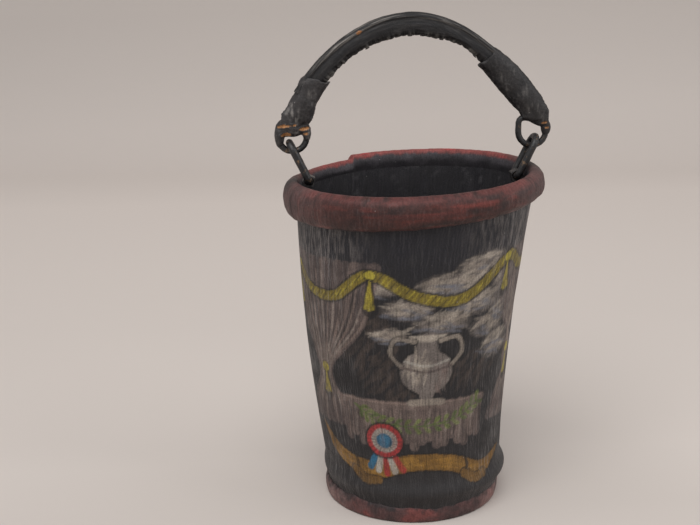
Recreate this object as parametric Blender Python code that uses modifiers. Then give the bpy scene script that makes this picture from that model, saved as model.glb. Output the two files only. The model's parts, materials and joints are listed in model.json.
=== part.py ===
"""A painted leather fire bucket with a swinging bail handle.

The wall is one leather sheet with a skived lap seam, drawn in over a dished base. A rolled collar
covers an iron hoop at the mouth. Two leather tabs inside the mouth hold iron links, and the links
hold the D-rings of a rope-cored leather handle.

Units are metres, +Z is up, and the origin is on the floor at the middle of the foot. The bail axis
runs along X, and the front of the bucket faces -Y.
"""

import math

import bmesh
import bpy
from mathutils import Matrix, Vector

MM = 0.001

# Clearances
FIT_GAP = 0.3 * MM
RUNNING_GAP = 0.35 * MM
LAP_GAP = 0.5 * MM
SIDE_GAP = 1.0 * MM
SEAT_GAP = 0.7 * MM

# Wall
BUCKET_HEIGHT = 318 * MM
BASE_RADIUS = 81.6 * MM
MOUTH_RADIUS = 112 * MM
WALL_THICKNESS = 4 * MM
WALL_LIFT = 0.8 * MM
SWELL = 3 * MM
SWELL_HEIGHT = 30 * MM
SWELL_SPREAD = 9 * MM
SEAM_ANGLE = math.radians(115)
SEAM_LAP = 24 * MM
SEAM_END_GAP = 0.6 * MM

# Base and foot
BASE_THICKNESS = 5 * MM
BASE_FLANGE = 3.5 * MM
FOOT_BAND_HEIGHT = 18 * MM
FOOT_BAND_THICKNESS = 3 * MM
FOOT_BAND_BEND = 0.6

# Rolled rim
COLLAR_THICKNESS = 2.6 * MM
COLLAR_HEIGHT = 29 * MM
COLLAR_FLAP = 15 * MM
HOOP_THICKNESS = 7.4 * MM
HOOP_TALL = 14 * MM
HOOP_DROP = 15 * MM

# Leather tabs and their rivets
TAB_THICKNESS = 2.6 * MM
TAB_WIDTH = 9 * MM
TAB_TAIL_WIDTH = 30 * MM
TAB_TAIL_HEIGHT = 15 * MM
TAB_AXIS_DROP = 6 * MM
RIVET_SHANK = 4 * MM
RIVET_HEAD = 7.6 * MM
RIVET_HEAD_THICKNESS = 1.4 * MM
RIVET_CROWN = 5.7 * MM
RIVET_RIM = 0.5 * MM
RIVET_SPREAD = 9 * MM
ROVE_THICKNESS = 1.2 * MM
RIVET_PEEN = 5.8 * MM
RIVET_PEEN_THICKNESS = 1.1 * MM
RIVET_PEEN_CROWN = 3.9 * MM

# Links
LINK_WIRE = 7 * MM
LINK_REACH = 31 * MM
LINK_LEAN = math.radians(26)
LINK_CORNER = 4.5 * MM

# Handle
EYE_WIRE = 6 * MM
EYE_RADIUS = 13 * MM
EYE_CORNER = 4.5 * MM
HANDLE_RISE = 88 * MM
HANDLE_FULLNESS = 1.6
HANDLE_SLUMP = 4 * MM
SLUMP_TURN = math.radians(52)
SLUMP_SPREAD = math.radians(24)
GRIP_RADIUS = 10.8 * MM
GRIP_LEATHER = 2.8 * MM
GRIP_FLATNESS = 0.72
GRIP_START = 24 * MM
CORE_OVERHANG = 5 * MM
STRAP_THICKNESS = 2.6 * MM
STRAP_WRAP = math.radians(80)
STRAP_NECK = 15.5 * MM
STRAP_SPREAD = 12 * MM
RIGHT_STRAP_LAP = 75 * MM
LEFT_STRAP_LAP = 48 * MM

# Facets
SEGMENTS = 56
WIRE_SIDES = 10
BELT_STEPS = 3
BOW_STEPS = 10
CORNER_STEPS = 3
GRIP_STEPS = 32
LAP_STEPS = 7
NECK_STEPS = 3
SHEET_STEPS = 8
RIVET_SIDES = 12
BORE_SIDES = 16

# Derived places
WALL_TOP = BUCKET_HEIGHT - COLLAR_THICKNESS - FIT_GAP - WALL_THICKNESS / 2 - FIT_GAP
WALL_SLOPE = (MOUTH_RADIUS - BASE_RADIUS) / WALL_TOP
WALL_LEAN = math.atan(WALL_SLOPE)


def wall_outer(height):
    """Outer radius of the wall: a cone with a swelling where the base is pressed in."""
    swell = SWELL * math.exp(-(((height - SWELL_HEIGHT) / SWELL_SPREAD) ** 2))
    return BASE_RADIUS + WALL_SLOPE * height + swell


def wall_inner(height):
    """Inner radius of the wall."""
    return wall_outer(height) - WALL_THICKNESS


COLLAR_LOW = BUCKET_HEIGHT - COLLAR_HEIGHT
SWELL_ROWS = [SWELL_HEIGHT + SWELL_SPREAD * k / 2 for k in range(-2, 5)]
FOOT_ROWS = [WALL_LIFT, FOOT_BAND_HEIGHT * FOOT_BAND_BEND, FOOT_BAND_HEIGHT]
WALL_ROWS = sorted([*FOOT_ROWS, *SWELL_ROWS, COLLAR_LOW, WALL_TOP])
FLAP_LOW = BUCKET_HEIGHT - COLLAR_FLAP
FLAP_FACE = wall_inner(FLAP_LOW) - FIT_GAP - COLLAR_THICKNESS
HOOP_HEIGHT = BUCKET_HEIGHT - HOOP_DROP
HOOP_RADIUS = wall_outer(HOOP_HEIGHT + HOOP_TALL / 2) + FIT_GAP + HOOP_THICKNESS / 2
HOOP_HALF_RUN = (HOOP_TALL - HOOP_THICKNESS) / 2

TAB_BORE = LINK_WIRE / 2 + RUNNING_GAP
TAB_LOOP = TAB_BORE + TAB_THICKNESS
TAB_AXIS_HEIGHT = BUCKET_HEIGHT - TAB_AXIS_DROP
TAB_AXIS_RADIUS = FLAP_FACE - FIT_GAP - TAB_LOOP
TAB_TAIL_TOP = FLAP_LOW - 2 * FIT_GAP
TAB_TAIL_THICKNESS = 2 * TAB_THICKNESS
RIVET_HEIGHT = TAB_TAIL_TOP - TAB_TAIL_HEIGHT / 2
RIVET_ANGLE = RIVET_SPREAD / wall_outer(RIVET_HEIGHT)

# A link is wide enough for its tab and for the ring's wire. The bail axis runs through the middle
# of the links' bows, where the rings' lowest wires lie.
LINK_INSIDE = max(TAB_WIDTH / 2, EYE_WIRE / 2 / math.cos(LINK_LEAN)) + SIDE_GAP
LINK_HALF_WIDTH = LINK_INSIDE + LINK_WIRE / 2
LINK_TOP = LINK_REACH + LINK_HALF_WIDTH
BAIL_HEIGHT = TAB_AXIS_HEIGHT + LINK_REACH * math.cos(LINK_LEAN)

# At rest each link leans out until its bow lies against the inside of its ring.
EYE_SEAT = EYE_RADIUS - EYE_WIRE / 2 - LINK_WIRE / 2 - SEAT_GAP
EYE_DROP = EYE_RADIUS - LINK_HALF_WIDTH * math.cos(LINK_LEAN)
EYE_X = TAB_AXIS_RADIUS + LINK_TOP * math.sin(LINK_LEAN) - math.sqrt(EYE_SEAT**2 - EYE_DROP**2)
EYE_BAR = 2 * EYE_RADIUS
GRIP_DEPTH = GRIP_RADIUS * GRIP_FLATNESS
CORE_RADIUS = GRIP_RADIUS - GRIP_LEATHER - FIT_GAP
CORE_START = GRIP_START - CORE_OVERHANG


# Scene and materials


def clear_scene():
    """Removes the objects of the start-up scene."""
    for obj in list(bpy.data.objects):
        bpy.data.objects.remove(obj)


def new_collection(name):
    """A collection linked to the scene."""
    collection = bpy.data.collections.new(name)
    bpy.context.scene.collection.children.link(collection)
    return collection


def new_material(name, colour, roughness, metallic):
    """A plain Principled material."""
    material = bpy.data.materials.new(name)
    material.use_nodes = True
    shader = material.node_tree.nodes["Principled BSDF"]
    shader.inputs["Base Color"].default_value = (*colour, 1)
    shader.inputs["Roughness"].default_value = roughness
    shader.inputs["Metallic"].default_value = metallic
    return material


def add(name, data, material, parent=None):
    """Links an object to the bucket's collection."""
    obj = bpy.data.objects.new(name, data)
    PARTS.objects.link(obj)
    obj.parent = parent
    data.materials.append(material)
    return obj


def add_pivot(name, location, rotation=(0, 0, 0), parent=None):
    """An empty that carries what moves or sits at one place."""
    pivot = bpy.data.objects.new(name, None)
    PARTS.objects.link(pivot)
    pivot.parent = parent
    pivot.location = location
    pivot.rotation_euler = rotation
    return pivot


def smooth(mesh):
    """Smooth shading that keeps the hard edges."""
    mesh.shade_smooth()
    mesh.set_sharp_from_angle(angle=math.radians(35))


# Modelling helpers


def arc(centre, radius, start, end, steps):
    """Points of an arc in a plane, both ends included."""
    span = end - start
    angles = [start + span * k / steps for k in range(steps + 1)]
    return [(centre[0] + radius * math.cos(a), centre[1] + radius * math.sin(a)) for a in angles]


def belt(stations, offset):
    """A left-turning belt round circles (x, y, radius), standing off by offset, as points.

    The first and last stations are the belt's ends, and the others get an arc each.
    """
    normals = []
    for (x1, y1, r1), (x2, y2, r2) in zip(stations, stations[1:]):
        run = Vector((x2 - x1, y2 - y1))
        heading = math.atan2(run.y, run.x)
        normals.append(heading - math.pi / 2 + math.asin((r1 - r2) / run.length))
    points = []
    for index, (x, y, radius) in enumerate(stations):
        start = normals[max(index - 1, 0)]
        end = normals[min(index, len(normals) - 1)]
        turn = (end - start) % (2 * math.pi)
        steps = BELT_STEPS if 0 < index < len(stations) - 1 else 0
        if steps:
            points += arc((x, y), radius + offset, start, start + turn, steps)
        else:
            reach = radius + offset
            points.append((x + reach * math.cos(start), y + reach * math.sin(start)))
    return points


def turned(name, profile, material, parent=None, steps=SEGMENTS, closed=True):
    """A shape turned about Z from (radius, height) points that run down the outer side."""
    mesh = bpy.data.meshes.new(name)
    edges = [(k, k + 1) for k in range(len(profile) - 1)]
    if closed:
        edges.append((len(profile) - 1, 0))
    mesh.from_pydata([(r, 0, z) for r, z in profile], edges, [])
    obj = add(name, mesh, material, parent)
    screw = obj.modifiers.new("turn", "SCREW")
    screw.axis = "Z"
    screw.steps = steps
    screw.render_steps = steps
    screw.use_merge_vertices = True
    screw.merge_threshold = 0.00001
    screw.use_smooth_shade = True
    return obj


def slab_mesh(name, columns, rows, place):
    """A closed sheet with a thickness: place(column, row, layer) puts each point of its two faces."""
    shape = bmesh.new()
    last = (len(columns) - 1, len(rows) - 1)
    bmesh.ops.create_grid(shape, x_segments=last[0], y_segments=last[1], size=1)
    where = {}
    for vert in shape.verts:
        column = round((vert.co.x + 1) / 2 * last[0])
        row = round((vert.co.y + 1) / 2 * last[1])
        where[vert] = (columns[column], rows[row])
    under = list(shape.verts)
    made = bmesh.ops.extrude_face_region(shape, geom=list(shape.faces), use_keep_orig=True)
    over = [item for item in made["geom"] if isinstance(item, bmesh.types.BMVert)]
    pairs = {tuple(vert.co): vert for vert in under}
    for vert in over:
        where[vert] = where[pairs[tuple(vert.co)]]
    for layer, verts in enumerate((under, over)):
        for vert in verts:
            vert.co = place(*where[vert], layer)
    bmesh.ops.recalc_face_normals(shape, faces=list(shape.faces))
    if shape.calc_volume(signed=True) < 0:
        bmesh.ops.reverse_faces(shape, faces=list(shape.faces))
    mesh = bpy.data.meshes.new(name)
    shape.to_mesh(mesh)
    shape.free()
    smooth(mesh)
    return mesh


def wire(name, points, diameter, material, parent=None, closed=False, caps=True):
    """A round wire or tube along points, as a curve object."""
    curve = bpy.data.curves.new(name, "CURVE")
    curve.dimensions = "3D"
    curve.bevel_depth = diameter / 2
    curve.bevel_resolution = (WIRE_SIDES - 4) // 2
    curve.use_fill_caps = caps and not closed
    spline = curve.splines.new("POLY")
    spline.points.add(len(points) - 1)
    for point, place in zip(spline.points, points):
        point.co = (*place, 1)
    spline.use_cyclic_u = closed
    return add(name, curve, material, parent)


def as_mesh(obj):
    """Replaces a curve object by a mesh object of the same name, with its caps welded."""
    bpy.context.view_layer.update()
    graph = bpy.context.evaluated_depsgraph_get()
    mesh = bpy.data.meshes.new_from_object(obj.evaluated_get(graph))
    shape = bmesh.new()
    shape.from_mesh(mesh)
    bmesh.ops.remove_doubles(shape, verts=list(shape.verts), dist=0.00001)
    shape.to_mesh(mesh)
    shape.free()
    name, parent, place = obj.name, obj.parent, obj.matrix_world.copy()
    material = obj.data.materials[0]
    bpy.data.objects.remove(obj)
    mesh.materials.clear()
    solid = add(name, mesh, material, parent)
    solid.matrix_world = place
    smooth(mesh)
    return solid


def cylinder(name, radius, length, place):
    """A hidden cutter along its own Z."""
    shape = bmesh.new()
    bmesh.ops.create_cone(
        shape, cap_ends=True, segments=BORE_SIDES, radius1=radius, radius2=radius, depth=length
    )
    mesh = bpy.data.meshes.new(name)
    shape.to_mesh(mesh)
    shape.free()
    cutter = bpy.data.objects.new(name, mesh)
    CUTTERS.objects.link(cutter)
    cutter.matrix_world = place
    cutter.hide_render = True
    cutter.display_type = "WIRE"
    return cutter


def combine(obj, other, operation):
    """Adds a Boolean between two mesh objects."""
    boolean = obj.modifiers.new(operation.lower(), "BOOLEAN")
    boolean.operation = operation
    boolean.object = other


# The bucket itself


def rivet_place(side_angle, spread):
    """The frame of a rivet: its origin is on the wall's outer face and its Z points outwards."""
    radius = wall_outer(RIVET_HEIGHT)
    turn = Matrix.Rotation(side_angle + spread * RIVET_ANGLE, 4, "Z")
    out = Matrix.Translation((radius, 0, RIVET_HEIGHT))
    tilt = Matrix.Rotation(math.pi / 2 + WALL_LEAN, 4, "Y")
    return turn @ out @ tilt


def rivet_places():
    """Each rivet's name and frame."""
    return [
        (f"{side}_tab_rivet_{end}", rivet_place(angle, spread))
        for side, angle, spreads in (("right", 0, (-1, 1)), ("left", math.pi, (1, -1)))
        for end, spread in zip(("front", "back"), spreads)
    ]


def make_wall():
    """One sheet bent round until its halved ends lap at the seam, with holes for the rivets."""
    lap = SEAM_LAP / MOUTH_RADIUS
    gap = SEAM_END_GAP / MOUTH_RADIUS
    start, full = SEAM_ANGLE, SEAM_ANGLE + 2 * math.pi
    facet = 2 * math.pi / SEGMENTS
    outer_half = (WALL_THICKNESS + FIT_GAP) / 2
    inner_half = (WALL_THICKNESS - FIT_GAP) / 2
    columns = [(start, 0, outer_half), (start + lap / 2, 0, outer_half)]
    columns += [(start + lap, 0, outer_half), (start + lap + gap, 0, 0)]
    whole = [facet * k for k in range(int(full / facet) + 1)]
    columns += [(a, 0, 0) for a in whole if start + lap + 2 * gap < a < full - 2 * gap]
    columns += [(full - gap, 0, 0), (full, outer_half, 0)]
    columns += [(full + lap / 2, outer_half, 0), (full + lap - gap, outer_half, 0)]

    def place(column, height, layer):
        angle, outer_cut, inner_cut = column
        if layer:
            radius = wall_outer(height) - outer_cut
        else:
            radius = wall_inner(height) + inner_cut
        return Vector((radius * math.cos(angle), radius * math.sin(angle), height))

    wall = add("bucket_wall", slab_mesh("bucket_wall", columns, WALL_ROWS, place), BLACK_LEATHER)
    for name, frame in rivet_places():
        hole = cylinder(name + "_wall_hole", RIVET_SHANK / 2 + FIT_GAP, 4 * WALL_THICKNESS, frame)
        combine(wall, hole, "DIFFERENCE")
    return wall


def make_base():
    """A leather disc pressed up inside the swelling, with its edge turned down along the wall."""
    top = SWELL_HEIGHT
    under = top - BASE_THICKNESS
    edge = [z for z in WALL_ROWS if z <= top]
    outer = [(wall_inner(z) - FIT_GAP, z) for z in reversed(edge)]
    inner = [(r - BASE_FLANGE, z) for r, z in reversed(outer) if z < under]
    profile = [(0, top), *outer, *inner, (inner[-1][0], under), (0, under)]
    return turned("base_disc", profile, BLACK_LEATHER, closed=False)


def make_foot_band():
    """The red leather band bound round the foot, on which the bucket stands."""
    heights = [0, *(z for z in WALL_ROWS if z <= FOOT_BAND_HEIGHT)]
    inner = [(wall_outer(z) + FIT_GAP, z) for z in heights]
    outer = [(r + FOOT_BAND_THICKNESS, z) for r, z in inner]
    return turned("foot_band", [*reversed(outer), *inner], RED_LEATHER)


def make_rim_hoop():
    """The round-edged iron hoop that stiffens the mouth, outside the wall and under the collar."""
    low = (HOOP_RADIUS, HOOP_HEIGHT - HOOP_HALF_RUN)
    high = (HOOP_RADIUS, HOOP_HEIGHT + HOOP_HALF_RUN)
    half = HOOP_THICKNESS / 2
    section = arc(high, half, math.pi, 0, 4) + arc(low, half, 0, -math.pi, 4)
    return turned("rim_hoop", section, IRON)


def make_rim_collar():
    """The red leather collar, laid over the hoop and the wall's top edge and down inside."""
    wall_edge = wall_outer(WALL_TOP) - WALL_THICKNESS / 2
    stations = [
        (wall_outer(COLLAR_LOW), COLLAR_LOW, 0),
        (HOOP_RADIUS, HOOP_HEIGHT - HOOP_HALF_RUN, HOOP_THICKNESS / 2),
        (HOOP_RADIUS, HOOP_HEIGHT + HOOP_HALF_RUN, HOOP_THICKNESS / 2),
        (wall_edge, WALL_TOP, WALL_THICKNESS / 2),
        (wall_inner(FLAP_LOW), FLAP_LOW, 0),
    ]
    outer = belt(stations, FIT_GAP + COLLAR_THICKNESS)
    inner = belt(stations, FIT_GAP)
    return turned("rim_collar", [*reversed(outer), *inner], RED_LEATHER)


def make_tab(side, angle):
    """A folded leather tab: a loop for the link and a tail that follows the wall."""
    low = TAB_TAIL_TOP - TAB_TAIL_HEIGHT
    half_turn = TAB_TAIL_WIDTH / 2 / wall_inner(TAB_TAIL_TOP)
    columns = [half_turn * (2 * k / SHEET_STEPS - 1) for k in range(SHEET_STEPS + 1)]

    def place(turn, height, layer):
        radius = wall_inner(height) - FIT_GAP - TAB_TAIL_THICKNESS * layer
        return Vector((radius * math.cos(turn), radius * math.sin(turn), height))

    name = f"{side}_tab"
    tail = add(name, slab_mesh(name, columns, [low, TAB_TAIL_TOP], place), BLACK_LEATHER)
    tail.rotation_euler.z = angle
    bpy.context.view_layer.update()

    # The loop and neck are one outline in the plane through the bucket's axis.
    axis = (TAB_AXIS_RADIUS, TAB_AXIS_HEIGHT)
    root_outer = TAB_AXIS_RADIUS + TAB_LOOP
    root_inner = wall_inner(RIVET_HEIGHT) - TAB_TAIL_THICKNESS
    stations = [
        (root_outer, TAB_TAIL_TOP - TAB_THICKNESS, 0),
        (*axis, TAB_LOOP),
        (root_inner, TAB_TAIL_TOP - TAB_THICKNESS, 0),
    ]
    neck = belt(stations, 0)
    neck_foot = [(root_inner, RIVET_HEIGHT), (root_outer - FIT_GAP, RIVET_HEIGHT)]
    outline = bpy.data.curves.new(name + "_loop", "CURVE")
    outline.dimensions = "2D"
    outline.fill_mode = "BOTH"
    outline.extrude = TAB_WIDTH / 2
    bore = arc(axis, TAB_BORE, 0, 2 * math.pi, BORE_SIDES)[:-1]
    for points in (neck + neck_foot, bore):
        spline = outline.splines.new("POLY")
        spline.points.add(len(points) - 1)
        for point, spot in zip(spline.points, points):
            point.co = (*spot, 0, 1)
        spline.use_cyclic_u = True
    loop = as_mesh(add(name + "_loop", outline, BLACK_LEATHER))
    loop.matrix_world = Matrix.Rotation(angle, 4, "Z") @ Matrix.Rotation(math.pi / 2, 4, "X")
    loop.hide_render = True
    loop.display_type = "WIRE"
    PARTS.objects.unlink(loop)
    CUTTERS.objects.link(loop)
    combine(tail, loop, "UNION")
    for rivet, frame in rivet_places():
        if rivet.startswith(side):
            radius = RIVET_SHANK / 2 + FIT_GAP
            hole = cylinder(rivet + "_tab_hole", radius, 2 * TAB_TAIL_WIDTH, frame)
            combine(tail, hole, "DIFFERENCE")
    return tail


def make_rivets():
    """Copper rivets with their heads under the collar, and the roves that they are peened over."""
    tail_face = WALL_THICKNESS + FIT_GAP + TAB_TAIL_THICKNESS
    rove_face = tail_face + FIT_GAP + ROVE_THICKNESS
    peen_face = rove_face + FIT_GAP
    shank = RIVET_SHANK / 2
    for name, frame in rivet_places():
        # The frame's Z points out of the wall, so the inner end lies at negative heights.
        head = RIVET_HEAD / 2
        head_top = FIT_GAP + RIVET_HEAD_THICKNESS
        profile = [
            (0, head_top),
            (RIVET_CROWN / 2, head_top),
            (head, FIT_GAP + RIVET_RIM),
            (head, FIT_GAP),
            (shank, FIT_GAP),
            (shank, -peen_face),
            (RIVET_PEEN / 2, -peen_face),
            (RIVET_PEEN_CROWN / 2, -peen_face - RIVET_PEEN_THICKNESS),
            (0, -peen_face - RIVET_PEEN_THICKNESS),
        ]
        rivet = turned(name, profile, COPPER, steps=RIVET_SIDES, closed=False)
        rivet.matrix_world = frame
        hole = shank + FIT_GAP
        ring = [
            (head, FIT_GAP - rove_face + ROVE_THICKNESS),
            (head, FIT_GAP - rove_face),
            (hole, FIT_GAP - rove_face),
            (hole, FIT_GAP - rove_face + ROVE_THICKNESS),
        ]
        rove = turned(name.replace("rivet", "rove"), ring, COPPER, steps=RIVET_SIDES)
        rove.matrix_world = frame @ Matrix.Translation((0, 0, -FIT_GAP))


def make_link(side, sign):
    """A long iron link: a straight bar in the tab, and a round bow that carries the handle's ring."""
    half = LINK_HALF_WIDTH
    corner = LINK_CORNER
    bow = arc((0, LINK_REACH), half, 0, math.pi, BOW_STEPS)
    left = arc((corner - half, corner), corner, math.pi, 1.5 * math.pi, CORNER_STEPS)
    right = arc((half - corner, corner), corner, 1.5 * math.pi, 2 * math.pi, CORNER_STEPS)
    lean = (0, sign * LINK_LEAN, 0)
    pivot = add_pivot(f"{side}_link_pivot", (sign * TAB_AXIS_RADIUS, 0, TAB_AXIS_HEIGHT), lean)
    points = [(0, y, z) for y, z in bow + left + right]
    return wire(f"{side}_link", points, LINK_WIRE, IRON, pivot, closed=True)


# The handle, about its pivot on the bail axis


def handle_line(count):
    """Points of the handle's middle line from the right ring's bar over the top to the left one.

    Its right shoulder has sunk a little.
    """
    points = []
    for k in range(count + 1):
        turn = math.pi * k / count
        rise = HANDLE_RISE * max(math.sin(turn), 0) ** HANDLE_FULLNESS
        slump = HANDLE_SLUMP * math.exp(-(((turn - SLUMP_TURN) / SLUMP_SPREAD) ** 2))
        points.append(Vector((EYE_X * math.cos(turn), 0, EYE_BAR + rise - slump)))
    return points


FINE_LINE = handle_line(400)
LINE_FROM = {1: FINE_LINE, -1: FINE_LINE[::-1]}


def along_handle(distance, sign=1):
    """The point and the direction of the middle line at a distance from the right or the left ring's bar."""
    line = LINE_FROM[sign]
    if distance <= 0:
        return line[0] + Vector((0, 0, distance)), Vector((0, 0, 1))
    walked = 0
    for here, there in zip(line, line[1:]):
        step = there - here
        if walked + step.length >= distance:
            return here + step * ((distance - walked) / step.length), step.normalized()
        walked += step.length
    raise ValueError("the handle is shorter than this distance")


def handle_length():
    """Length of the middle line."""
    return sum((b - a).length for a, b in zip(FINE_LINE, FINE_LINE[1:]))


def handle_stretch(start, count):
    """Points of the middle line between start and the same distance from its other end."""
    span = handle_length() - 2 * start
    return [along_handle(start + span * k / count)[0] for k in range(count + 1)]


def flatten(obj):
    """Presses a tube of the handle to an oval."""
    for vert in obj.data.vertices:
        vert.co.y *= GRIP_FLATNESS


def make_handle(pivot):
    """The rope core and the leather that is rolled round it."""
    core = wire("handle_core", handle_stretch(CORE_START, GRIP_STEPS), 2 * CORE_RADIUS, ROPE, pivot)
    core = as_mesh(core)
    flatten(core)
    line = handle_stretch(GRIP_START, GRIP_STEPS)
    grip = as_mesh(wire("grip_cover", line, 2 * GRIP_RADIUS, BLACK_LEATHER, pivot, caps=False))
    flatten(grip)
    wall = grip.modifiers.new("leather", "SOLIDIFY")
    wall.thickness = GRIP_LEATHER * GRIP_FLATNESS
    wall.offset = -1
    wall.use_even_offset = True


def make_strap(side, sign, lap, pivot):
    """A leather strap folded round the ring's bar and wrapped up the front and back of the grip."""
    stations = [
        (-GRIP_DEPTH, lap, 0),
        (-GRIP_DEPTH, GRIP_START, 0),
        (0, 0, EYE_WIRE / 2),
        (GRIP_DEPTH, GRIP_START, 0),
        (GRIP_DEPTH, lap, 0),
    ]

    def divided(path):
        """The path with its laps and necks cut into short runs, so that they follow the bend."""
        turn = BELT_STEPS + 1
        cuts = {0: LAP_STEPS, turn: NECK_STEPS, 2 * turn: NECK_STEPS, 3 * turn: LAP_STEPS}
        points = []
        for k, (here, there) in enumerate(zip(path, path[1:])):
            steps = cuts.get(k, 1)
            points += [Vector(here).lerp(Vector(there), j / steps) for j in range(steps)]
        return [*points, Vector(path[-1])]

    offsets = (LAP_GAP, LAP_GAP + STRAP_THICKNESS)
    paths = [divided(belt(stations, offset)) for offset in offsets]
    columns = list(range(len(paths[0])))
    rows = [2 * k / SHEET_STEPS - 1 for k in range(SHEET_STEPS + 1)]

    def place(column, across, layer):
        depth, distance = paths[layer][column]
        wrapped = min(max(distance / STRAP_SPREAD, 0), 1)
        turn = STRAP_WRAP * across
        flat_width = STRAP_NECK / 2 * across
        round_width = (GRIP_RADIUS + offsets[layer]) * math.sin(turn)
        width = flat_width + (round_width - flat_width) * wrapped
        depth *= 1 + (math.cos(turn) - 1) * wrapped
        centre, heading = along_handle(distance, sign)
        heading = Vector((0, 0, 1)).lerp(heading, min(max(distance / GRIP_START, 0), 1)).normalized()
        normal = sign * Vector((heading.z, 0, -heading.x))
        spot = centre + normal * width
        return Vector((spot.x, depth, spot.z))

    name = f"{side}_end_strap"
    return add(name, slab_mesh(name, columns, rows, place), BLACK_LEATHER, pivot)


def make_eye(side, sign, pivot):
    """An iron D-ring: a round bow through the link and a straight bar in the strap's fold."""
    half = EYE_RADIUS
    corner = EYE_CORNER
    bow = arc((0, EYE_RADIUS), half, math.pi, 2 * math.pi, BOW_STEPS)
    high = EYE_BAR - corner
    right = arc((half - corner, high), corner, 0, math.pi / 2, CORNER_STEPS)
    left = arc((corner - half, high), corner, math.pi / 2, math.pi, CORNER_STEPS)
    points = [(x, 0, z) for x, z in bow + right + left]
    ring = wire(f"{side}_eye_ring", points, EYE_WIRE, IRON, pivot, closed=True)
    ring.location.x = sign * EYE_X
    return ring


clear_scene()
PARTS = new_collection("fire_bucket")
CUTTERS = new_collection("fire_bucket_cutters")
BLACK_LEATHER = new_material("black_leather", (0.016, 0.014, 0.015), 0.6, 0)
RED_LEATHER = new_material("red_leather", (0.16, 0.035, 0.027), 0.62, 0)
IRON = new_material("blackened_iron", (0.017, 0.016, 0.016), 0.5, 0.6)
COPPER = new_material("dark_copper", (0.23, 0.1, 0.05), 0.45, 1)
ROPE = new_material("hemp_rope", (0.28, 0.19, 0.1), 0.85, 0)

make_wall()
make_base()
make_foot_band()
make_rim_hoop()
make_rim_collar()
for SIDE, SIGN, ANGLE in (("right", 1, 0), ("left", -1, math.pi)):
    make_tab(SIDE, ANGLE)
    make_link(SIDE, SIGN)
make_rivets()
BAIL = add_pivot("bail_pivot", (0, 0, BAIL_HEIGHT))
make_handle(BAIL)
for SIDE, SIGN, LAP in (("right", 1, RIGHT_STRAP_LAP), ("left", -1, LEFT_STRAP_LAP)):
    make_eye(SIDE, SIGN, BAIL)
    make_strap(SIDE, SIGN, LAP, BAIL)

print("tab axis (mm)", TAB_AXIS_RADIUS / MM, TAB_AXIS_HEIGHT / MM)
print("bail axis height (mm)", BAIL_HEIGHT / MM, "eye x (mm)", EYE_X / MM)
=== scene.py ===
# %% [markdown]
# # A painted leather fire bucket
#
# A fire bucket hung by the door and was passed from hand to hand to a fire. This one is black leather,
# painted on its front, with a red roll round the mouth, a red band round the foot and a padded handle.
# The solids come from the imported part. This lesson gives them their leather, iron and paint.

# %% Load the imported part
import functools
import itertools
import json
import math

import bmesh
import bpy
import numpy as np
from mathutils import Matrix, Vector


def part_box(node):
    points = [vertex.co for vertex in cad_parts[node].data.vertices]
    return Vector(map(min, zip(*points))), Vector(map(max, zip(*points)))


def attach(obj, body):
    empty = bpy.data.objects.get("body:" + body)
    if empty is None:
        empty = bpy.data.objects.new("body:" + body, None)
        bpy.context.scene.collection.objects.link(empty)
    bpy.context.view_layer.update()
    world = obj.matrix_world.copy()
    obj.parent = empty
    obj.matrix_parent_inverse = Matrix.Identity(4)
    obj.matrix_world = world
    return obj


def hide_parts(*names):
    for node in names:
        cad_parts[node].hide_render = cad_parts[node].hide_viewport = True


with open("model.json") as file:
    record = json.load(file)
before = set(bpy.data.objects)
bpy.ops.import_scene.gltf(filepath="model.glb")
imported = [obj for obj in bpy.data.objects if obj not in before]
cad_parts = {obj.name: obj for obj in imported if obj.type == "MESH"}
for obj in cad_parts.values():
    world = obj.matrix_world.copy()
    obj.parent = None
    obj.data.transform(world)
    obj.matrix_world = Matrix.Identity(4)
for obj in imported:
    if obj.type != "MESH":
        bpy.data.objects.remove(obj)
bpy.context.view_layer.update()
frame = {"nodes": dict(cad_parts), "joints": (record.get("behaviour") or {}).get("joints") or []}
MM = 0.001

# %% [markdown]
# ## Camera
#
# The camera was fitted to the outlines of the mouth, the foot and the handle. It could be placed by eye,
# but a fitted one makes every later comparison fair. The sizes are pixels of a 700 by 525 picture.

# %% Camera
PHOTO_WIDTH = 700
FOCAL_PIXELS = 1233.3
CAMERA_PLACE = (-0.1584, -1.1240, 0.5384)
CAMERA_YAW = math.radians(-5)
CAMERA_PITCH = math.radians(15.2)
CAMERA_ROLL = math.radians(-0.6)

lens = bpy.data.cameras.new("photo_camera")
lens.sensor_width = 36
lens.lens = lens.sensor_width * FOCAL_PIXELS / PHOTO_WIDTH
camera = bpy.data.objects.new("photo_camera", lens)
aim = Matrix.Rotation(CAMERA_YAW, 4, "Z") @ Matrix.Rotation(math.pi / 2 - CAMERA_PITCH, 4, "X")
camera.matrix_world = Matrix.Translation(CAMERA_PLACE) @ aim @ Matrix.Rotation(CAMERA_ROLL, 4, "Z")
bpy.context.scene.collection.objects.link(camera)
bpy.context.scene.camera = camera
PHOTO_RIGHT = np.array([math.cos(CAMERA_YAW), math.sin(CAMERA_YAW), 0])
FRONT_ANGLE = CAMERA_YAW - math.pi / 2
print("lens", round(lens.lens, 2), "mm")

# %% [markdown]
# ## Chance that repeats
#
# Hand work is uneven. The unevenness comes from value noise: a fixed random number at each corner of a
# lattice, blended in between. It could come from Blender's textures, but in numpy it is quick on a whole
# mesh at once, and it can shape points as well as colour them.

# %% Noise for shapes and colours
LATTICE_KEYS = np.array([73856093, 19349663, 83492791])
SEED_KEY = 40503
SEED_START = 977
FIRST_MIX = 1274126177
SECOND_MIX = 2246822519
LAYER_SHARES = (1, 0.5, 0.25)
LAYER_SHIFT = 17.3


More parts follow.
